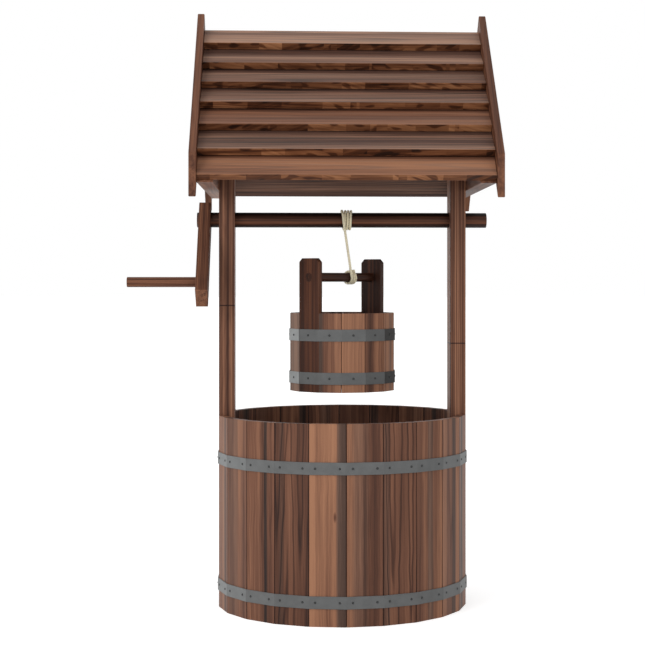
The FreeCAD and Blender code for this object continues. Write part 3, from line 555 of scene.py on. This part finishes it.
def board_space(add, grain, seed):
    """The piece's own coordinates, turned and moved for its grain."""
    turn = [math.radians(angle) for angle in GRAIN[grain]]
    place = [seed * move for move in SEED_MOVES]
    return add("Mapping", {"Vector": add("TexCoord").outputs["Object"], "Location": place,
                           "Rotation": turn})


def board_wood(name, grain, seed, **more):
    """Wood of a plain board."""
    add, shader = new_wood(name)
    figured_wood(add, shader, board_space(add, grain, seed), **more)


def count_woods():
    """Print how many pieces have their fir."""
    count = sum(material.name.startswith("oiled_fir_") for material in bpy.data.materials)
    print("pieces in oiled fir so far:", count)


board_wood("front_ear", "Z", 3, tones=DARK_FIR, lines=0.15, band=16)
board_wood("rear_ear", "Z", 5, tones=BLACK_FIR, lines=0.15, band=16)
board_wood("bucket_dowel", "dowel", 4, tones=DARK_FIR)
board_wood("bucket_floor", "X", 8)
board_wood("crank_handle", "X", 15, tones=RED_FIR, band=14, vein=0.9, shade=-0.03)
board_wood("barrel_floor", "X", 16)
board_wood("floor_battens", "Y", 17)
board_wood("post_dowels", "Z", 18)
count_woods()

# %% [markdown]
# The roof's frame stands at each end of it: a tie rail over the post, and two rafters and
# two barge boards along the slopes. Those along the slopes are redder than the slats, and a
# little lighter at the right end than at the left.

# %% Wood of the roof's frame
for index, side in enumerate(("left", "right")):
    board_wood(side + "_tie_rail", "Y", 30 + index)
    sloping = [(end, part) for end in ("front", "rear") for part in ("rafter", "barge")]
    for seed, (end, part) in enumerate(sloping, 55 + 7 * index):
        board_wood("%s_%s_%s" % (side, end, part), end + " slope", seed, tones=RED_FIR, lines=0.2,
                   shade=0.04 + 0.1 * index)
count_woods()

# %% [markdown]
# The staves of a barrel are one sub-part, but each was cut from a board of its own. The
# angle round the upright axis says which stave a point is on, and where across it.

# %% Place on a ring of facets
BARREL_STAVES, BUCKET_STAVES = 22, 14


def facet_of(add, x, y, count, turn):
    """The number of the facet that a point is on, and its angle from that facet's middle."""
    step = 2 * math.pi / count
    way = add("Math", [y, x], operation="ARCTAN2")
    angle = add("Math", [way, math.radians(turn)], operation="SUBTRACT")
    steps = add("Math", [angle, step], operation="DIVIDE")
    nearest = add("Math", [steps], operation="ROUND")
    middle = add("Math", [nearest, step], operation="MULTIPLY")
    within = add("Math", [angle, middle], operation="SUBTRACT")
    return add("Math", [nearest, count, 0.0], operation="WRAP"), within


def across_and_out(add, x, y, within):
    """How far a point lies across its facet from the middle, and how far out from the axis."""
    square = add("Math", [y, y], operation="MULTIPLY")
    square = add("Math", [x, x, square], operation="MULTIPLY_ADD")
    reach = add("Math", [square], operation="SQRT")
    sine = add("Math", [within], operation="SINE")
    cosine = add("Math", [within], operation="COSINE")
    across = add("Math", [reach, sine], operation="MULTIPLY")
    return across, add("Math", [reach, cosine], operation="MULTIPLY")


print("a barrel stave takes %.1f degrees" % (360 / BARREL_STAVES))

# %% [markdown]
# A colour ramp with steps and no blending serves as a table, which is read by the facet's
# number. It holds numbers from 0 to 1, three to a row, so two of them hold a stave's look,
# squeezed into that range. A look says how light the stave is, how clear its ring lines
# are, and where a dark heart streak runs down it.

# %% Looks of the staves
# Stave number: shade, ring lines, place of the streak in millimetres, its half width and
# how dark it is.
BARREL_LOOKS = {
    12: (0.04, 0.2, 12, 8, 0.15),
    13: (0.07, 0.2, -14, 14, 0.12),
    14: (0.02, 0.2, 12, 3, 0.30),
    15: (-0.11, 0.8, -20, 4, 0.10),
    16: (0.17, 0.05, 26, 8, 0.28),
    17: (0.02, 0.1, -8, 12, 0.12),
    18: (0.02, 1.0, -28, 6, 0.10),
    19: (0.08, 0.1, 2, 6, 0.22),
    20: (0.10, 0.4, 12, 6, 0.20),
    21: (0.06, 0.4, -10, 8, 0.25),
}
BUCKET_LOOKS = {
    # Stave 6 faces the light on the left: part of its lightness and greyness is painted light, on top
    # of its own tone.
    6: (0.41, 0.3, 0, 30, 0.3),
    8: (0.12, 0.05, -22, 8, 0.3),
    9: (0.28, 0.05, 0, 4, 0.0),
    10: (0.07, 0.3, -10, 6, 0.04),
    11: (0.27, 0.3, 6, 5, 0.12),
}
# A table's places run over so many millimetres, half of them each side of a stave's middle.
SPAN = 80


def scattered(number):
    """A look for a stave that has none of its own, so that no two are alike."""
    first, second, third = (number * 0.618 % 1, number * 0.414 % 1, number * 0.732 % 1)
    return (0.24 * first - 0.12, second, 50 * third - 25, 4 + 8 * first, 0.3 * second)


def facet_table(add, number, entries):
    """The entry of a facet's number, as a ramp in steps."""
    middle = add("Math", [number, 0.5], operation="ADD")
    place = add("Math", [middle, len(entries)], operation="DIVIDE")
    stops = [(n / len(entries), entry) for n, entry in enumerate(entries)]
    table = add("ValToRGB", [place], stops=stops)
    table.color_ramp.interpolation = "CONSTANT"
    return table


def look_up(add, number, count, looks):
    """The five numbers of a stave's look, as the ramps hold them.

    The shade is 0.5 too high. The streak's place is a part of the span, and its half width a
    part of half the span.
    """
    rows = [looks.get(n, scattered(n)) for n in range(count)]
    first = [(shade + 0.5, lines, (place + SPAN / 2) / SPAN, 0) for shade, lines, place, _, _ in rows]
    second = [(width * 2 / SPAN, depth, 0, 0) for _, _, _, width, depth in rows]
    first = add("SeparateColor", [facet_table(add, number, first)])
    second = add("SeparateColor", [facet_table(add, number, second)])
    return [*first.outputs, *second.outputs[:2]]


print("staves with a look of their own:", len(BARREL_LOOKS), "and", len(BUCKET_LOOKS))

# %% [markdown]
# Three things break a stave's straight grain. It sways a millimetre or two on its way up,
# where it passes knots. A streak of heart wood wanders down it. And one stave in front has a
# small dark knot.

# %% Sway, streak and knot
# The staves' stretches of noise lie up to so many metres apart.
STAVE_SHIFT = 17.0
# The sway's noise times SWAY is how far the grain moves, and its spots are SWAY_LENGTH long.
SWAY, SWAY_LENGTH = 3.5 * MM, 65 * MM
# Half widths of a streak from its middle at which it has gone, and at which it is full.
STREAK_GONE, STREAK_FULL = 1.4, 0.8
# How far a streak wanders, as a part of the span.
WANDER = 0.06
# Half the knot's height and width.
KNOT_HIGH, KNOT_WIDE = 11 * MM, 3.2 * MM


def swaying_space(add, own, across, out, z):
    """Coordinates with X along a stave's grain, in a stretch of noise of its own."""
    chance = add("TexWhiteNoise", {"W": own}, noise_dimensions="1D")
    shift = add("Math", [chance, STAVE_SHIFT], operation="MULTIPLY")
    along = add("Math", [z, shift], operation="ADD")
    sway = add("TexNoise", {"W": along, "Scale": 1 / SWAY_LENGTH, "Detail": 1.0},
               noise_dimensions="1D")
    sway = add("Math", [sway, 0.5], operation="SUBTRACT")
    swayed = add("Math", [sway, SWAY, across], operation="MULTIPLY_ADD")
    return add("CombineXYZ", [along, add("Math", [swayed, shift], operation="ADD"), out])


def heart_streak(add, space, across, place, width):
    """1 in a stave's heart streak and 0 beside it. Place and width are the table's."""
    here = add("Math", [across, SPAN * MM], operation="DIVIDE")
    there = add("Math", [place, 0.5], operation="SUBTRACT")
    away = add("Math", [here, there], operation="SUBTRACT")
    wander = stretched(add, space, long=160, wide=60, detail=1.0, shift=2.2)
    wander = add("Math", [wander, 0.5], operation="SUBTRACT")
    away = add("Math", [wander, WANDER, away], operation="MULTIPLY_ADD")
    away = add("Math", [away], operation="ABSOLUTE")
    near = add("Math", [away, width], operation="DIVIDE")
    near = add("Math", [1.0, near], operation="SUBTRACT")
    # The width is a part of half the span, so each half width counts 0.5 here.
    ends = {"From Min": 1 - STREAK_GONE / 2, "From Max": 1 - STREAK_FULL / 2}
    return add("MapRange", {"Value": near, **ends})


def dark_knot(add, own, across, z, knot):
    """1 in the middle of a knot, given by its stave, place across and height in millimetres."""
    number, knot_across, knot_up = knot
    high = add("Math", [z, knot_up * MM], operation="SUBTRACT")
    high = add("Math", [high, KNOT_HIGH], operation="DIVIDE")
    wide = add("Math", [across, knot_across * MM], operation="SUBTRACT")
    wide = add("Math", [wide, KNOT_WIDE], operation="DIVIDE")
    square = add("Math", [wide, wide], operation="MULTIPLY")
    square = add("Math", [high, high, square], operation="MULTIPLY_ADD")
    away = add("Math", [square], operation="SQRT")
    spot = add("MapRange", {"Value": away, "From Min": 1.0, "From Max": 0.3})
    here = add("Math", [own, number, 0.1], operation="COMPARE")
    return add("Math", [spot, here], operation="MULTIPLY")


print("knot: %.0f by %.1f mm" % (2 * KNOT_HIGH / MM, 2 * KNOT_WIDE / MM))

# %% [markdown]
# Grime sits in the joints between the staves, so each joint is a thin dark line. With the
# streak, the knot and the table of looks, one material dresses a whole ring of staves.

# %% Stave wood
# Where the grime starts and where it is full, from a stave's middle at 0 to its edge at 1.
GRIME_START, GRIME_FULL = 0.955, 0.99
# How much darker the joints and the knot are, and how grey the streaks get for their depth.
GRIME_DEPTH, KNOT_DEPTH, STREAK_GREY = 0.42, 0.35, 1.8


def stave_wood(name, count, turn, looks, knot=None, **more):
    """Wood of a ring of staves: looks gives those that have a look of their own."""
    add, shader = new_wood(name)
    x, y, z = add("SeparateXYZ", [add("TexCoord").outputs["Object"]]).outputs
    own, within = facet_of(add, x, y, count, turn)
    across, out = across_and_out(add, x, y, within)
    space = swaying_space(add, own, across, out, z)
    shade, lines, place, width, depth = look_up(add, own, count, looks)
    streak = heart_streak(add, space, across, place, width)
    shade = add("Math", [shade, 0.5], operation="SUBTRACT")
    darker = add("Math", [streak, depth], operation="MULTIPLY")
    shade = add("Math", [shade, darker], operation="SUBTRACT")
    edge = add("Math", [within], operation="ABSOLUTE")
    edge = add("Math", [edge, math.pi / count], operation="DIVIDE")
    darkening = add("MapRange", {"Value": edge, "From Min": GRIME_START, "From Max": GRIME_FULL,
                             "To Max": GRIME_DEPTH})
    shade = add("Math", [shade, darkening], operation="SUBTRACT")
    if knot:
        spot = dark_knot(add, own, across, z, knot)
        shade = add("Math", [spot, -KNOT_DEPTH, shade], operation="MULTIPLY_ADD")
    grey = add("Math", [depth, STREAK_GREY], operation="MULTIPLY")
    heart = add("Math", [streak, grey], operation="MULTIPLY")
    figured_wood(add, shader, space, lines=lines, shade=shade, arch=1300, rings=10, fine=6.0,
                 heart=heart, **more)


stave_wood("barrel_staves", BARREL_STAVES, 0, BARREL_LOOKS, knot=(16, 13, 194), band=30, vein=0.35)
stave_wood("bucket_staves", BUCKET_STAVES, BUCKET_TURN, BUCKET_LOOKS, band=30, vein=0.3)
count_woods()

# %% [markdown]
# Some pieces look different on the face that ends them: a slat on its butt, and the crank's
# arm on its foot. That face's plane is read off the piece itself, so one material does both
# faces and ends.

# %% The face at a piece's end
# A face's own look starts so far below its plane, and is full so far below it.
FACE_START, FACE_FULL = 0.7 * MM, 0.3 * MM


def end_face(add, name, towards):
    """1 on the flat face that ends a piece on the side of a direction, and 0 elsewhere."""
    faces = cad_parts[name].data.polygons
    facing = [face for face in faces if face.normal.dot(towards) > 0.8]
    end = max(facing, key=lambda face: face.center.dot(towards))
    place = end.center.dot(end.normal)
    out = add("VectorMath", [add("TexCoord").outputs["Object"], end.normal],
              operation="DOT_PRODUCT").outputs["Value"]
    return add("MapRange", {"Value": out, "From Min": place - FACE_START,
                            "From Max": place - FACE_FULL})


print("triangles to find a slat's butt among:", len(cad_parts["front_slat_1"].data.polygons))

# %% [markdown]
# The roof's slats are planed boards, but their butts were cut across several lengths of
# wood glued end to end: short blocks, each with its own tone and its own slanting figure.
# A slow noise moves the blocks' ends, so that they aren't equally long.

# %% Figure of a butt
BLOCK, BLOCK_PLAY = 66 * MM, 90 * MM
# How far a block's figure may slant, and how far apart in the noise the blocks may lie.
LEAN, LAYERS = 0.7, 23.0
# How much the figure, the knots and each block's own tone weigh.
FIGURE_WEIGHT, KNOTS_WEIGHT, BLOCK_WEIGHT = 0.55, 0.26, 0.34


def butt_figure(add, seed):
    """The shade of the blocks that a butt shows."""
    x, _, z = add("SeparateXYZ", [add("TexCoord").outputs["Object"]]).outputs
    # Its spots are about 3 cm long, and a little shorter from slat to slat.
    uneven = add("TexNoise", {"W": x, "Scale": 7.0 + 0.3 * seed, "Detail": 0.0},
                 noise_dimensions="1D")
    along = add("Math", [uneven, BLOCK_PLAY, x], operation="MULTIPLY_ADD")
    along = add("Math", [along, BLOCK], operation="DIVIDE")
    # The seed moves a slat's blocks along, and gives them numbers that no other slat has.
    along = add("Math", [along, 0.37 * seed], operation="ADD")
    block = add("Math", [along], operation="FLOOR")
    block = add("Math", [block, 7.3 * seed], operation="ADD")
    chance = add("TexWhiteNoise", {"W": block}, noise_dimensions="1D")
    centred = add("Math", [chance, 0.5], operation="SUBTRACT")
    lean = add("Math", [centred, LEAN], operation="MULTIPLY")
    slanted = add("CombineXYZ", [
        x,
        add("Math", [x, lean, z], operation="MULTIPLY_ADD"),
        add("Math", [chance, LAYERS], operation="MULTIPLY"),
    ])
    figure = stretched(add, slanted, long=75, wide=6, detail=2.0, shift=0.7)
    figure = add("Math", [figure, 0.5], operation="SUBTRACT")
    figure = add("Math", [figure, FIGURE_WEIGHT], operation="MULTIPLY")
    knots = stretched(add, slanted, long=26, wide=8, detail=0.0, shift=4.4)
    knots = add("MapRange", {"Value": knots, "From Min": 0.6, "From Max": 0.7,
                             "To Max": KNOTS_WEIGHT})
    figure = add("Math", [figure, knots], operation="SUBTRACT")
    return add("Math", [centred, BLOCK_WEIGHT, figure], operation="MULTIPLY_ADD")


print("blocks about %.0f mm long" % (BLOCK / MM))

# %% [markdown]
# The slats differ most. From the ridge down, each has how light it is, how clear its heart
# lines are, how light its butt is, and which tones it has. Painted shade sits in the corner
# under the butt of the slat above, and fades out down the slope.

# %% Slat wood
SLAT_LOOKS = {
    "front": ((0.29, 0.9, 0.10, GREY_FIR), (0.18, 0.5, -0.02, GREY_FIR), (0.08, 1.0, 0.04, GREY_FIR),
              (0.12, 0.9, 0.01, GREY_FIR), (0.18, 0.3, 0.10, FIR), (0.14, 1.2, 0.01, GREY_FIR),
              (0.30, 0.4, 0.06, FIR)),
    "rear": ((0.1, 0.4, 0.0, FIR), (0.28, 0.3, 0.02, GREY_FIR), (0.08, 0.9, -0.02, GREY_FIR),
             (0.23, 0.3, 0.03, FIR), (0.10, 0.8, 0.0, GREY_FIR), (0.26, 0.4, 0.02, FIR),
             (0.0, 0.9, 0.0, GREY_FIR)),
}
# How far each part of the painted shade under a butt reaches down the slope, and how dark it is in
# the corner.
SHADE_UNDER_BUTT = ((1.6 * MM, 0.25), (8 * MM, 0.4))


def slat_wood(name, seed, outwards, covered, shade, lines, butt_shade, tones):
    """Wood of a slat. It goes outwards to -Y or Y, and the slat above ends at covered."""
    add, shader = new_wood(name)
    slant = math.radians(SLOPE)
    butt = end_face(add, name, Vector((0, outwards * math.cos(slant), -math.sin(slant))))
    blocks = add("Math", [butt_figure(add, seed), butt_shade - shade], operation="ADD")
    tone = add("Math", [blocks, butt, shade], operation="MULTIPLY_ADD")
    # Painted shade under the butt of the slat above: darkest where that slat ends, at covered, and
    # fading down the slope.
    z = add("SeparateXYZ", [add("TexCoord").outputs["Object"]]).outputs[2]
    below = add("Math", [covered, z], operation="SUBTRACT")
    below = add("Math", [below, 0.0], operation="MAXIMUM")
    for reach, depth in SHADE_UNDER_BUTT:
        fade = add("Math", [below, -reach], operation="DIVIDE")
        darkening = add("Math", [fade], operation="EXPONENT")
        tone = add("Math", [darkening, -depth, tone], operation="MULTIPLY_ADD")
    figured_wood(add, shader, board_space(add, "X", seed), tones=tones, band=26, lines=lines,
                 shade=tone, arch=1500, heart_lines=0.6, patch=(butt, GOLD_FIR))


# Nothing covers the uppermost slats, so what would is put far above them.
OVER_THE_RIDGE = 2.0
seed = 86
for end, outwards in (("front", -1), ("rear", 1)):
    covered = OVER_THE_RIDGE
    for number, looks in enumerate(SLAT_LOOKS[end], 1):
        key = "%s_slat_%d" % (end, number)
        slat_wood(key, seed, outwards, covered, *looks)
        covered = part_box(key)[0][2]
        seed += 1
count_woods()

# %% [markdown]
# Each post is two lengths of one board, butted together on a hidden dowel. The joint shows
# as a fine dark line all round, where dirt has settled. The posts stand upright, and the
# lines of their grain are fine and close. The right one is a little lighter.

# %% Post wood
# The line is full so far from the joint and gone so far from it, and so much darker.
LINE_FULL, LINE_GONE, LINE_DARKER = 0.8 * MM, 1.6 * MM, 0.4


def post_wood(name, seed, joint_height, shade):
    """Wood of half a post. Both halves come from one board and meet in a dark line."""
    add, shader = new_wood(name)
    height = add("SeparateXYZ", [add("TexCoord").outputs["Object"]]).outputs[2]
    away = add("Math", [height, joint_height], operation="SUBTRACT")
    away = add("Math", [away], operation="ABSOLUTE")
    tone = add("MapRange", {"Value": away, "From Min": LINE_FULL, "From Max": LINE_GONE,
                            "To Min": shade - LINE_DARKER, "To Max": shade})
    figured_wood(add, shader, board_space(add, "Z", seed), band=9, lines=0.15, shade=tone, vein=1.0)


for index, side in enumerate(("left", "right")):
    joint_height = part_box(side + "_post_lower")[1][2]
    for half in ("lower", "upper"):
        post_wood("%s_post_%s" % (side, half), 20 + 7 * index, joint_height, 0.09 * index)
    print("%s post: joint at z %.3f" % (side, joint_height))

# %% [markdown]
# The crossbar is a round bar, turned from darker wood than the rest. Along the front it is
# painted lighter, and along the top and the bottom almost black: painted light and shade for
# a round bar lit from the front.

# %% Crossbar wood
# The painted light along the front is full so far above and below the axis, and gone so far from it.
FRONT_FULL, FRONT_GONE = 6 * MM, 14 * MM
# The tones of the painted light along the front and of the painted shade along the top and the
# bottom.
PAINTED_FRONT_LIGHT, PAINTED_EDGE_SHADE = 0.14, -0.4


def bar_wood(name, seed):
    """Wood of the crossbar, with painted light along its front and near-black painted shade along its
    top and bottom.
    """
    add, shader = new_wood(name)
    height = add("SeparateXYZ", [add("TexCoord").outputs["Object"]]).outputs[2]
    away = add("Math", [height, BAR_HEIGHT], operation="SUBTRACT")
    away = add("Math", [away], operation="ABSOLUTE")
    tone = add("MapRange", {"Value": away, "From Min": FRONT_FULL, "From Max": FRONT_GONE,
                            "To Min": PAINTED_FRONT_LIGHT, "To Max": PAINTED_EDGE_SHADE})
    figured_wood(add, shader, board_space(add, "X", seed), tones=BLACK_FIR, band=12, lines=0.1,
                 shade=tone)


bar_wood("crossbar", 12)
low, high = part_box("crossbar")
print("crossbar: %.0f mm long and %.1f mm thick" % ((high[0] - low[0]) / MM, (high[2] - low[2]) / MM))

# %% [markdown]
# The crank's arm is a flat board. The end face at its foot is lighter than the board's faces.

# %% Crank arm wood
ARM_SHADE, FOOT_LIGHTER = -0.04, 0.26


def arm_wood(name, seed):
    """Wood of the crank's arm, with a lighter foot."""
    add, shader = new_wood(name)
    low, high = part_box("crank_handle")
    handle_y, handle_z = low[1] + high[1], low[2] + high[2]
    foot = end_face(add, name, Vector((0, handle_y, handle_z - 2 * BAR_HEIGHT)).normalized())
    tone = add("Math", [foot, FOOT_LIGHTER, ARM_SHADE], operation="MULTIPLY_ADD")
    figured_wood(add, shader, board_space(add, "arm", seed), tones=RED_FIR, band=9, vein=0.9,
                 lines=0.15, shade=tone)


arm_wood("crank_arm", 14)
count_woods()

# %% [markdown]
# The hoops are steel strip under grey paint, which is even but for a slight mottle, with a
# fine grit that keeps it satin. A hoop goes round in flats, and some catch more light than
# others, so a table of greys paints that light and shade onto its flats. The screws are
# blackened steel, which is darker and smoother.

# %% Steel
# Sizes of the mottle's spots and of the grit's grains.
MOTTLE, GRIT = 50 / 3 * MM, 10 / 9 * MM
# What the grey is multiplied by where the mottle is lowest, and how much more at its highest.
MOTTLE_LOW, MOTTLE_RISE = 0.75, 0.5
PAINT = "#5E5F5F"
BARREL_LIGHT_AND_SHADE = {10: "#6E7070", 11: "#7A7C7C", 12: "#7A7C7C", 13: "#717373", 14: "#646565",
                20: "#646565", 21: "#6A6C6C", 0: "#646565"}
BUCKET_LIGHT_AND_SHADE = {3: "#676969", 4: "#777979", 5: "#8C8F8F", 6: "#9C9F9F", 10: "#585959",
                11: "#242524", 12: "#343534", 13: "#4F5050"}


def painted_steel(name, names, grey, rough, ring=None):
    """Paint of one grey; on a hoop, the greys that ring gives as (count, turn, greys), as painted
    light and shade for each flat.
    """
    add, shader = new_finish(name, [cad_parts[piece] for piece in names])
    space = add("TexCoord").outputs["Object"]
    mottle = add("TexNoise", {"Vector": space, "Scale": 1 / MOTTLE, "Detail": 4.0})
    colour = linear(grey)[:3]
    if ring:
        count, turn, greys = ring
        x, y, _ = add("SeparateXYZ", [space]).outputs
        own, _ = facet_of(add, x, y, count, turn)
        # Each flat's grey is painted light or shade, for how much light that flat catches.
        colour = facet_table(add, own, [greys.get(n, grey) for n in range(count)])
    uneven = add("Math", [mottle, MOTTLE_RISE, MOTTLE_LOW], operation="MULTIPLY_ADD")
    grit = add("TexNoise", {"Vector": space, "Scale": 1 / GRIT, "Detail": 2.0})
    fill(shader, {
        "Base Color": add("VectorMath", {"Vector": colour, "Scale": uneven}, operation="SCALE"),
        "Roughness": add("Math", [mottle, 0.2, rough], operation="MULTIPLY_ADD"),
        "Normal": add("Bump", {"Height": grit, "Strength": 0.15, "Distance": 0.1 * MM}),
        "Specular IOR Level": 0.3,
    })
    print("%s on %d pieces" % (name, len(names)))


painted_steel("painted_barrel_hoop_steel", ["upper_barrel_hoop", "lower_barrel_hoop"], PAINT, 0.45,
              ring=(BARREL_STAVES, 0, BARREL_LIGHT_AND_SHADE))
painted_steel("painted_bucket_hoop_steel", ["upper_bucket_hoop", "lower_bucket_hoop"], PAINT, 0.45,
              ring=(BUCKET_STAVES, BUCKET_TURN, BUCKET_LIGHT_AND_SHADE))
painted_steel("blackened_screw_steel", ["barrel_screws", "bucket_screws", "leg_screws",
                                        "rail_screws", "barge_screws", "crank_pin"], "#303131", 0.35)

# %% [markdown]
# Cotton rope is a pale cream and quite dull. Its fibres show as a fine mottle. The grooves
# between the strands need no colour of their own, because real strands shade each other.

# %% Laid cotton
COTTON_MOTTLE = 2 / 3 * MM
add, shader = new_finish("laid_cotton", rope_pieces)
space = add("TexCoord").outputs["Object"]
fibre = add("TexNoise", {"Vector": space, "Scale": 1 / COTTON_MOTTLE, "Detail": 3.0})
fill(shader, {
    "Base Color": add("ValToRGB", [fibre], stops=[(0.3, "#EADEBA"), (0.7, "#FFF8E0")]),
    "Roughness": 0.9,
    "Normal": add("Bump", {"Height": fibre, "Strength": 0.5, "Distance": 0.2 * MM}),
})
print("cotton on %d pieces" % len(rope_pieces))

# %% [markdown]
# The well stands on a white floor that runs out of sight. What the camera or a reflection
# sees of it is lifted to white, and the well's own soft shadow stays on it.

# %% Floor
HALF_FLOOR = 60
FLOOR_LIFT = 0.56


def seen_directly(add):
    """1 for what the camera, a reflection or glass sees, and 0 for light on the well."""
    rays = add("LightPath").outputs
    mirrored = add("Math", [rays["Is Glossy Ray"], rays["Is Transmission Ray"]],
                   operation="MAXIMUM")
    return add("Math", [rays["Is Camera Ray"], mirrored], operation="MAXIMUM")


floor_mesh = bpy.data.meshes.new("floor")
shape = bmesh.new()
bmesh.ops.create_grid(shape, x_segments=1, y_segments=1, size=HALF_FLOOR)
shape.to_mesh(floor_mesh)
shape.free()
floor = add_piece("floor", floor_mesh)
add, shader = new_finish("studio_floor", [floor])
fill(shader, {
    "Base Color": linear("#E8E8E8"),
    "Roughness": 0.9,
    "Emission Color": linear("#FFFFFF"),
    "Emission Strength": add("Math", [seen_directly(add), FLOOR_LIFT], operation="MULTIPLY"),
})
print("floor: %d m wide" % (2 * HALF_FLOOR))

# %% [markdown]
# White distance lies behind the floor, for the camera and for reflections. What lights the
# well is less: an even glow from all round, which is stronger from the left.

# %% World
AMBIENT, LEFT_GLOW = 0.72, 0.2
world = bpy.data.worlds.new("studio")
bpy.context.scene.world = world
world.use_nodes = True
add = functools.partial(put, world.node_tree)
way = add("SeparateXYZ", [add("TexCoord").outputs["Generated"]]).outputs[0]
glow = add("Math", [way, -LEFT_GLOW, AMBIENT], operation="MULTIPLY_ADD")
seen = seen_directly(add)
unseen = add("Math", [1.0, seen], operation="SUBTRACT")
light = add("Math", [glow, unseen, seen], operation="MULTIPLY_ADD")
fill(world.node_tree.nodes["Background"], {"Color": linear("#FFFFFF"), "Strength": light})
print("glow: %.2f from the left, %.2f from the right" % (AMBIENT + LEFT_GLOW, AMBIENT - LEFT_GLOW))

# %% [markdown]
# A large soft lamp stands low in front on the left, and a weaker one on the right fills the
# shadows. With the glow they show a colour about as it is written.


# %% Lamps
def softbox(name, place, aim, size, watts):
    """A square lamp that faces a point."""
    lamp = bpy.data.lights.new(name, "AREA")
    lamp.size = size
    lamp.energy = watts
    box = add_piece(name, lamp)
    box.location = place
    box.rotation_euler = (Vector(aim) - Vector(place)).to_track_quat("-Z", "Y").to_euler()
    print("%s lamp: %.1f m away" % (name, Vector(place).length))


softbox("key", place=(-2.2, -2.9, 1.9), aim=(0, 0, 0.6), size=1.6, watts=42)
softbox("fill", place=(1.9, -3.3, 0.8), aim=(0, 0, 0.5), size=1.6, watts=17)
bpy.context.scene.view_settings.view_transform = "Standard"
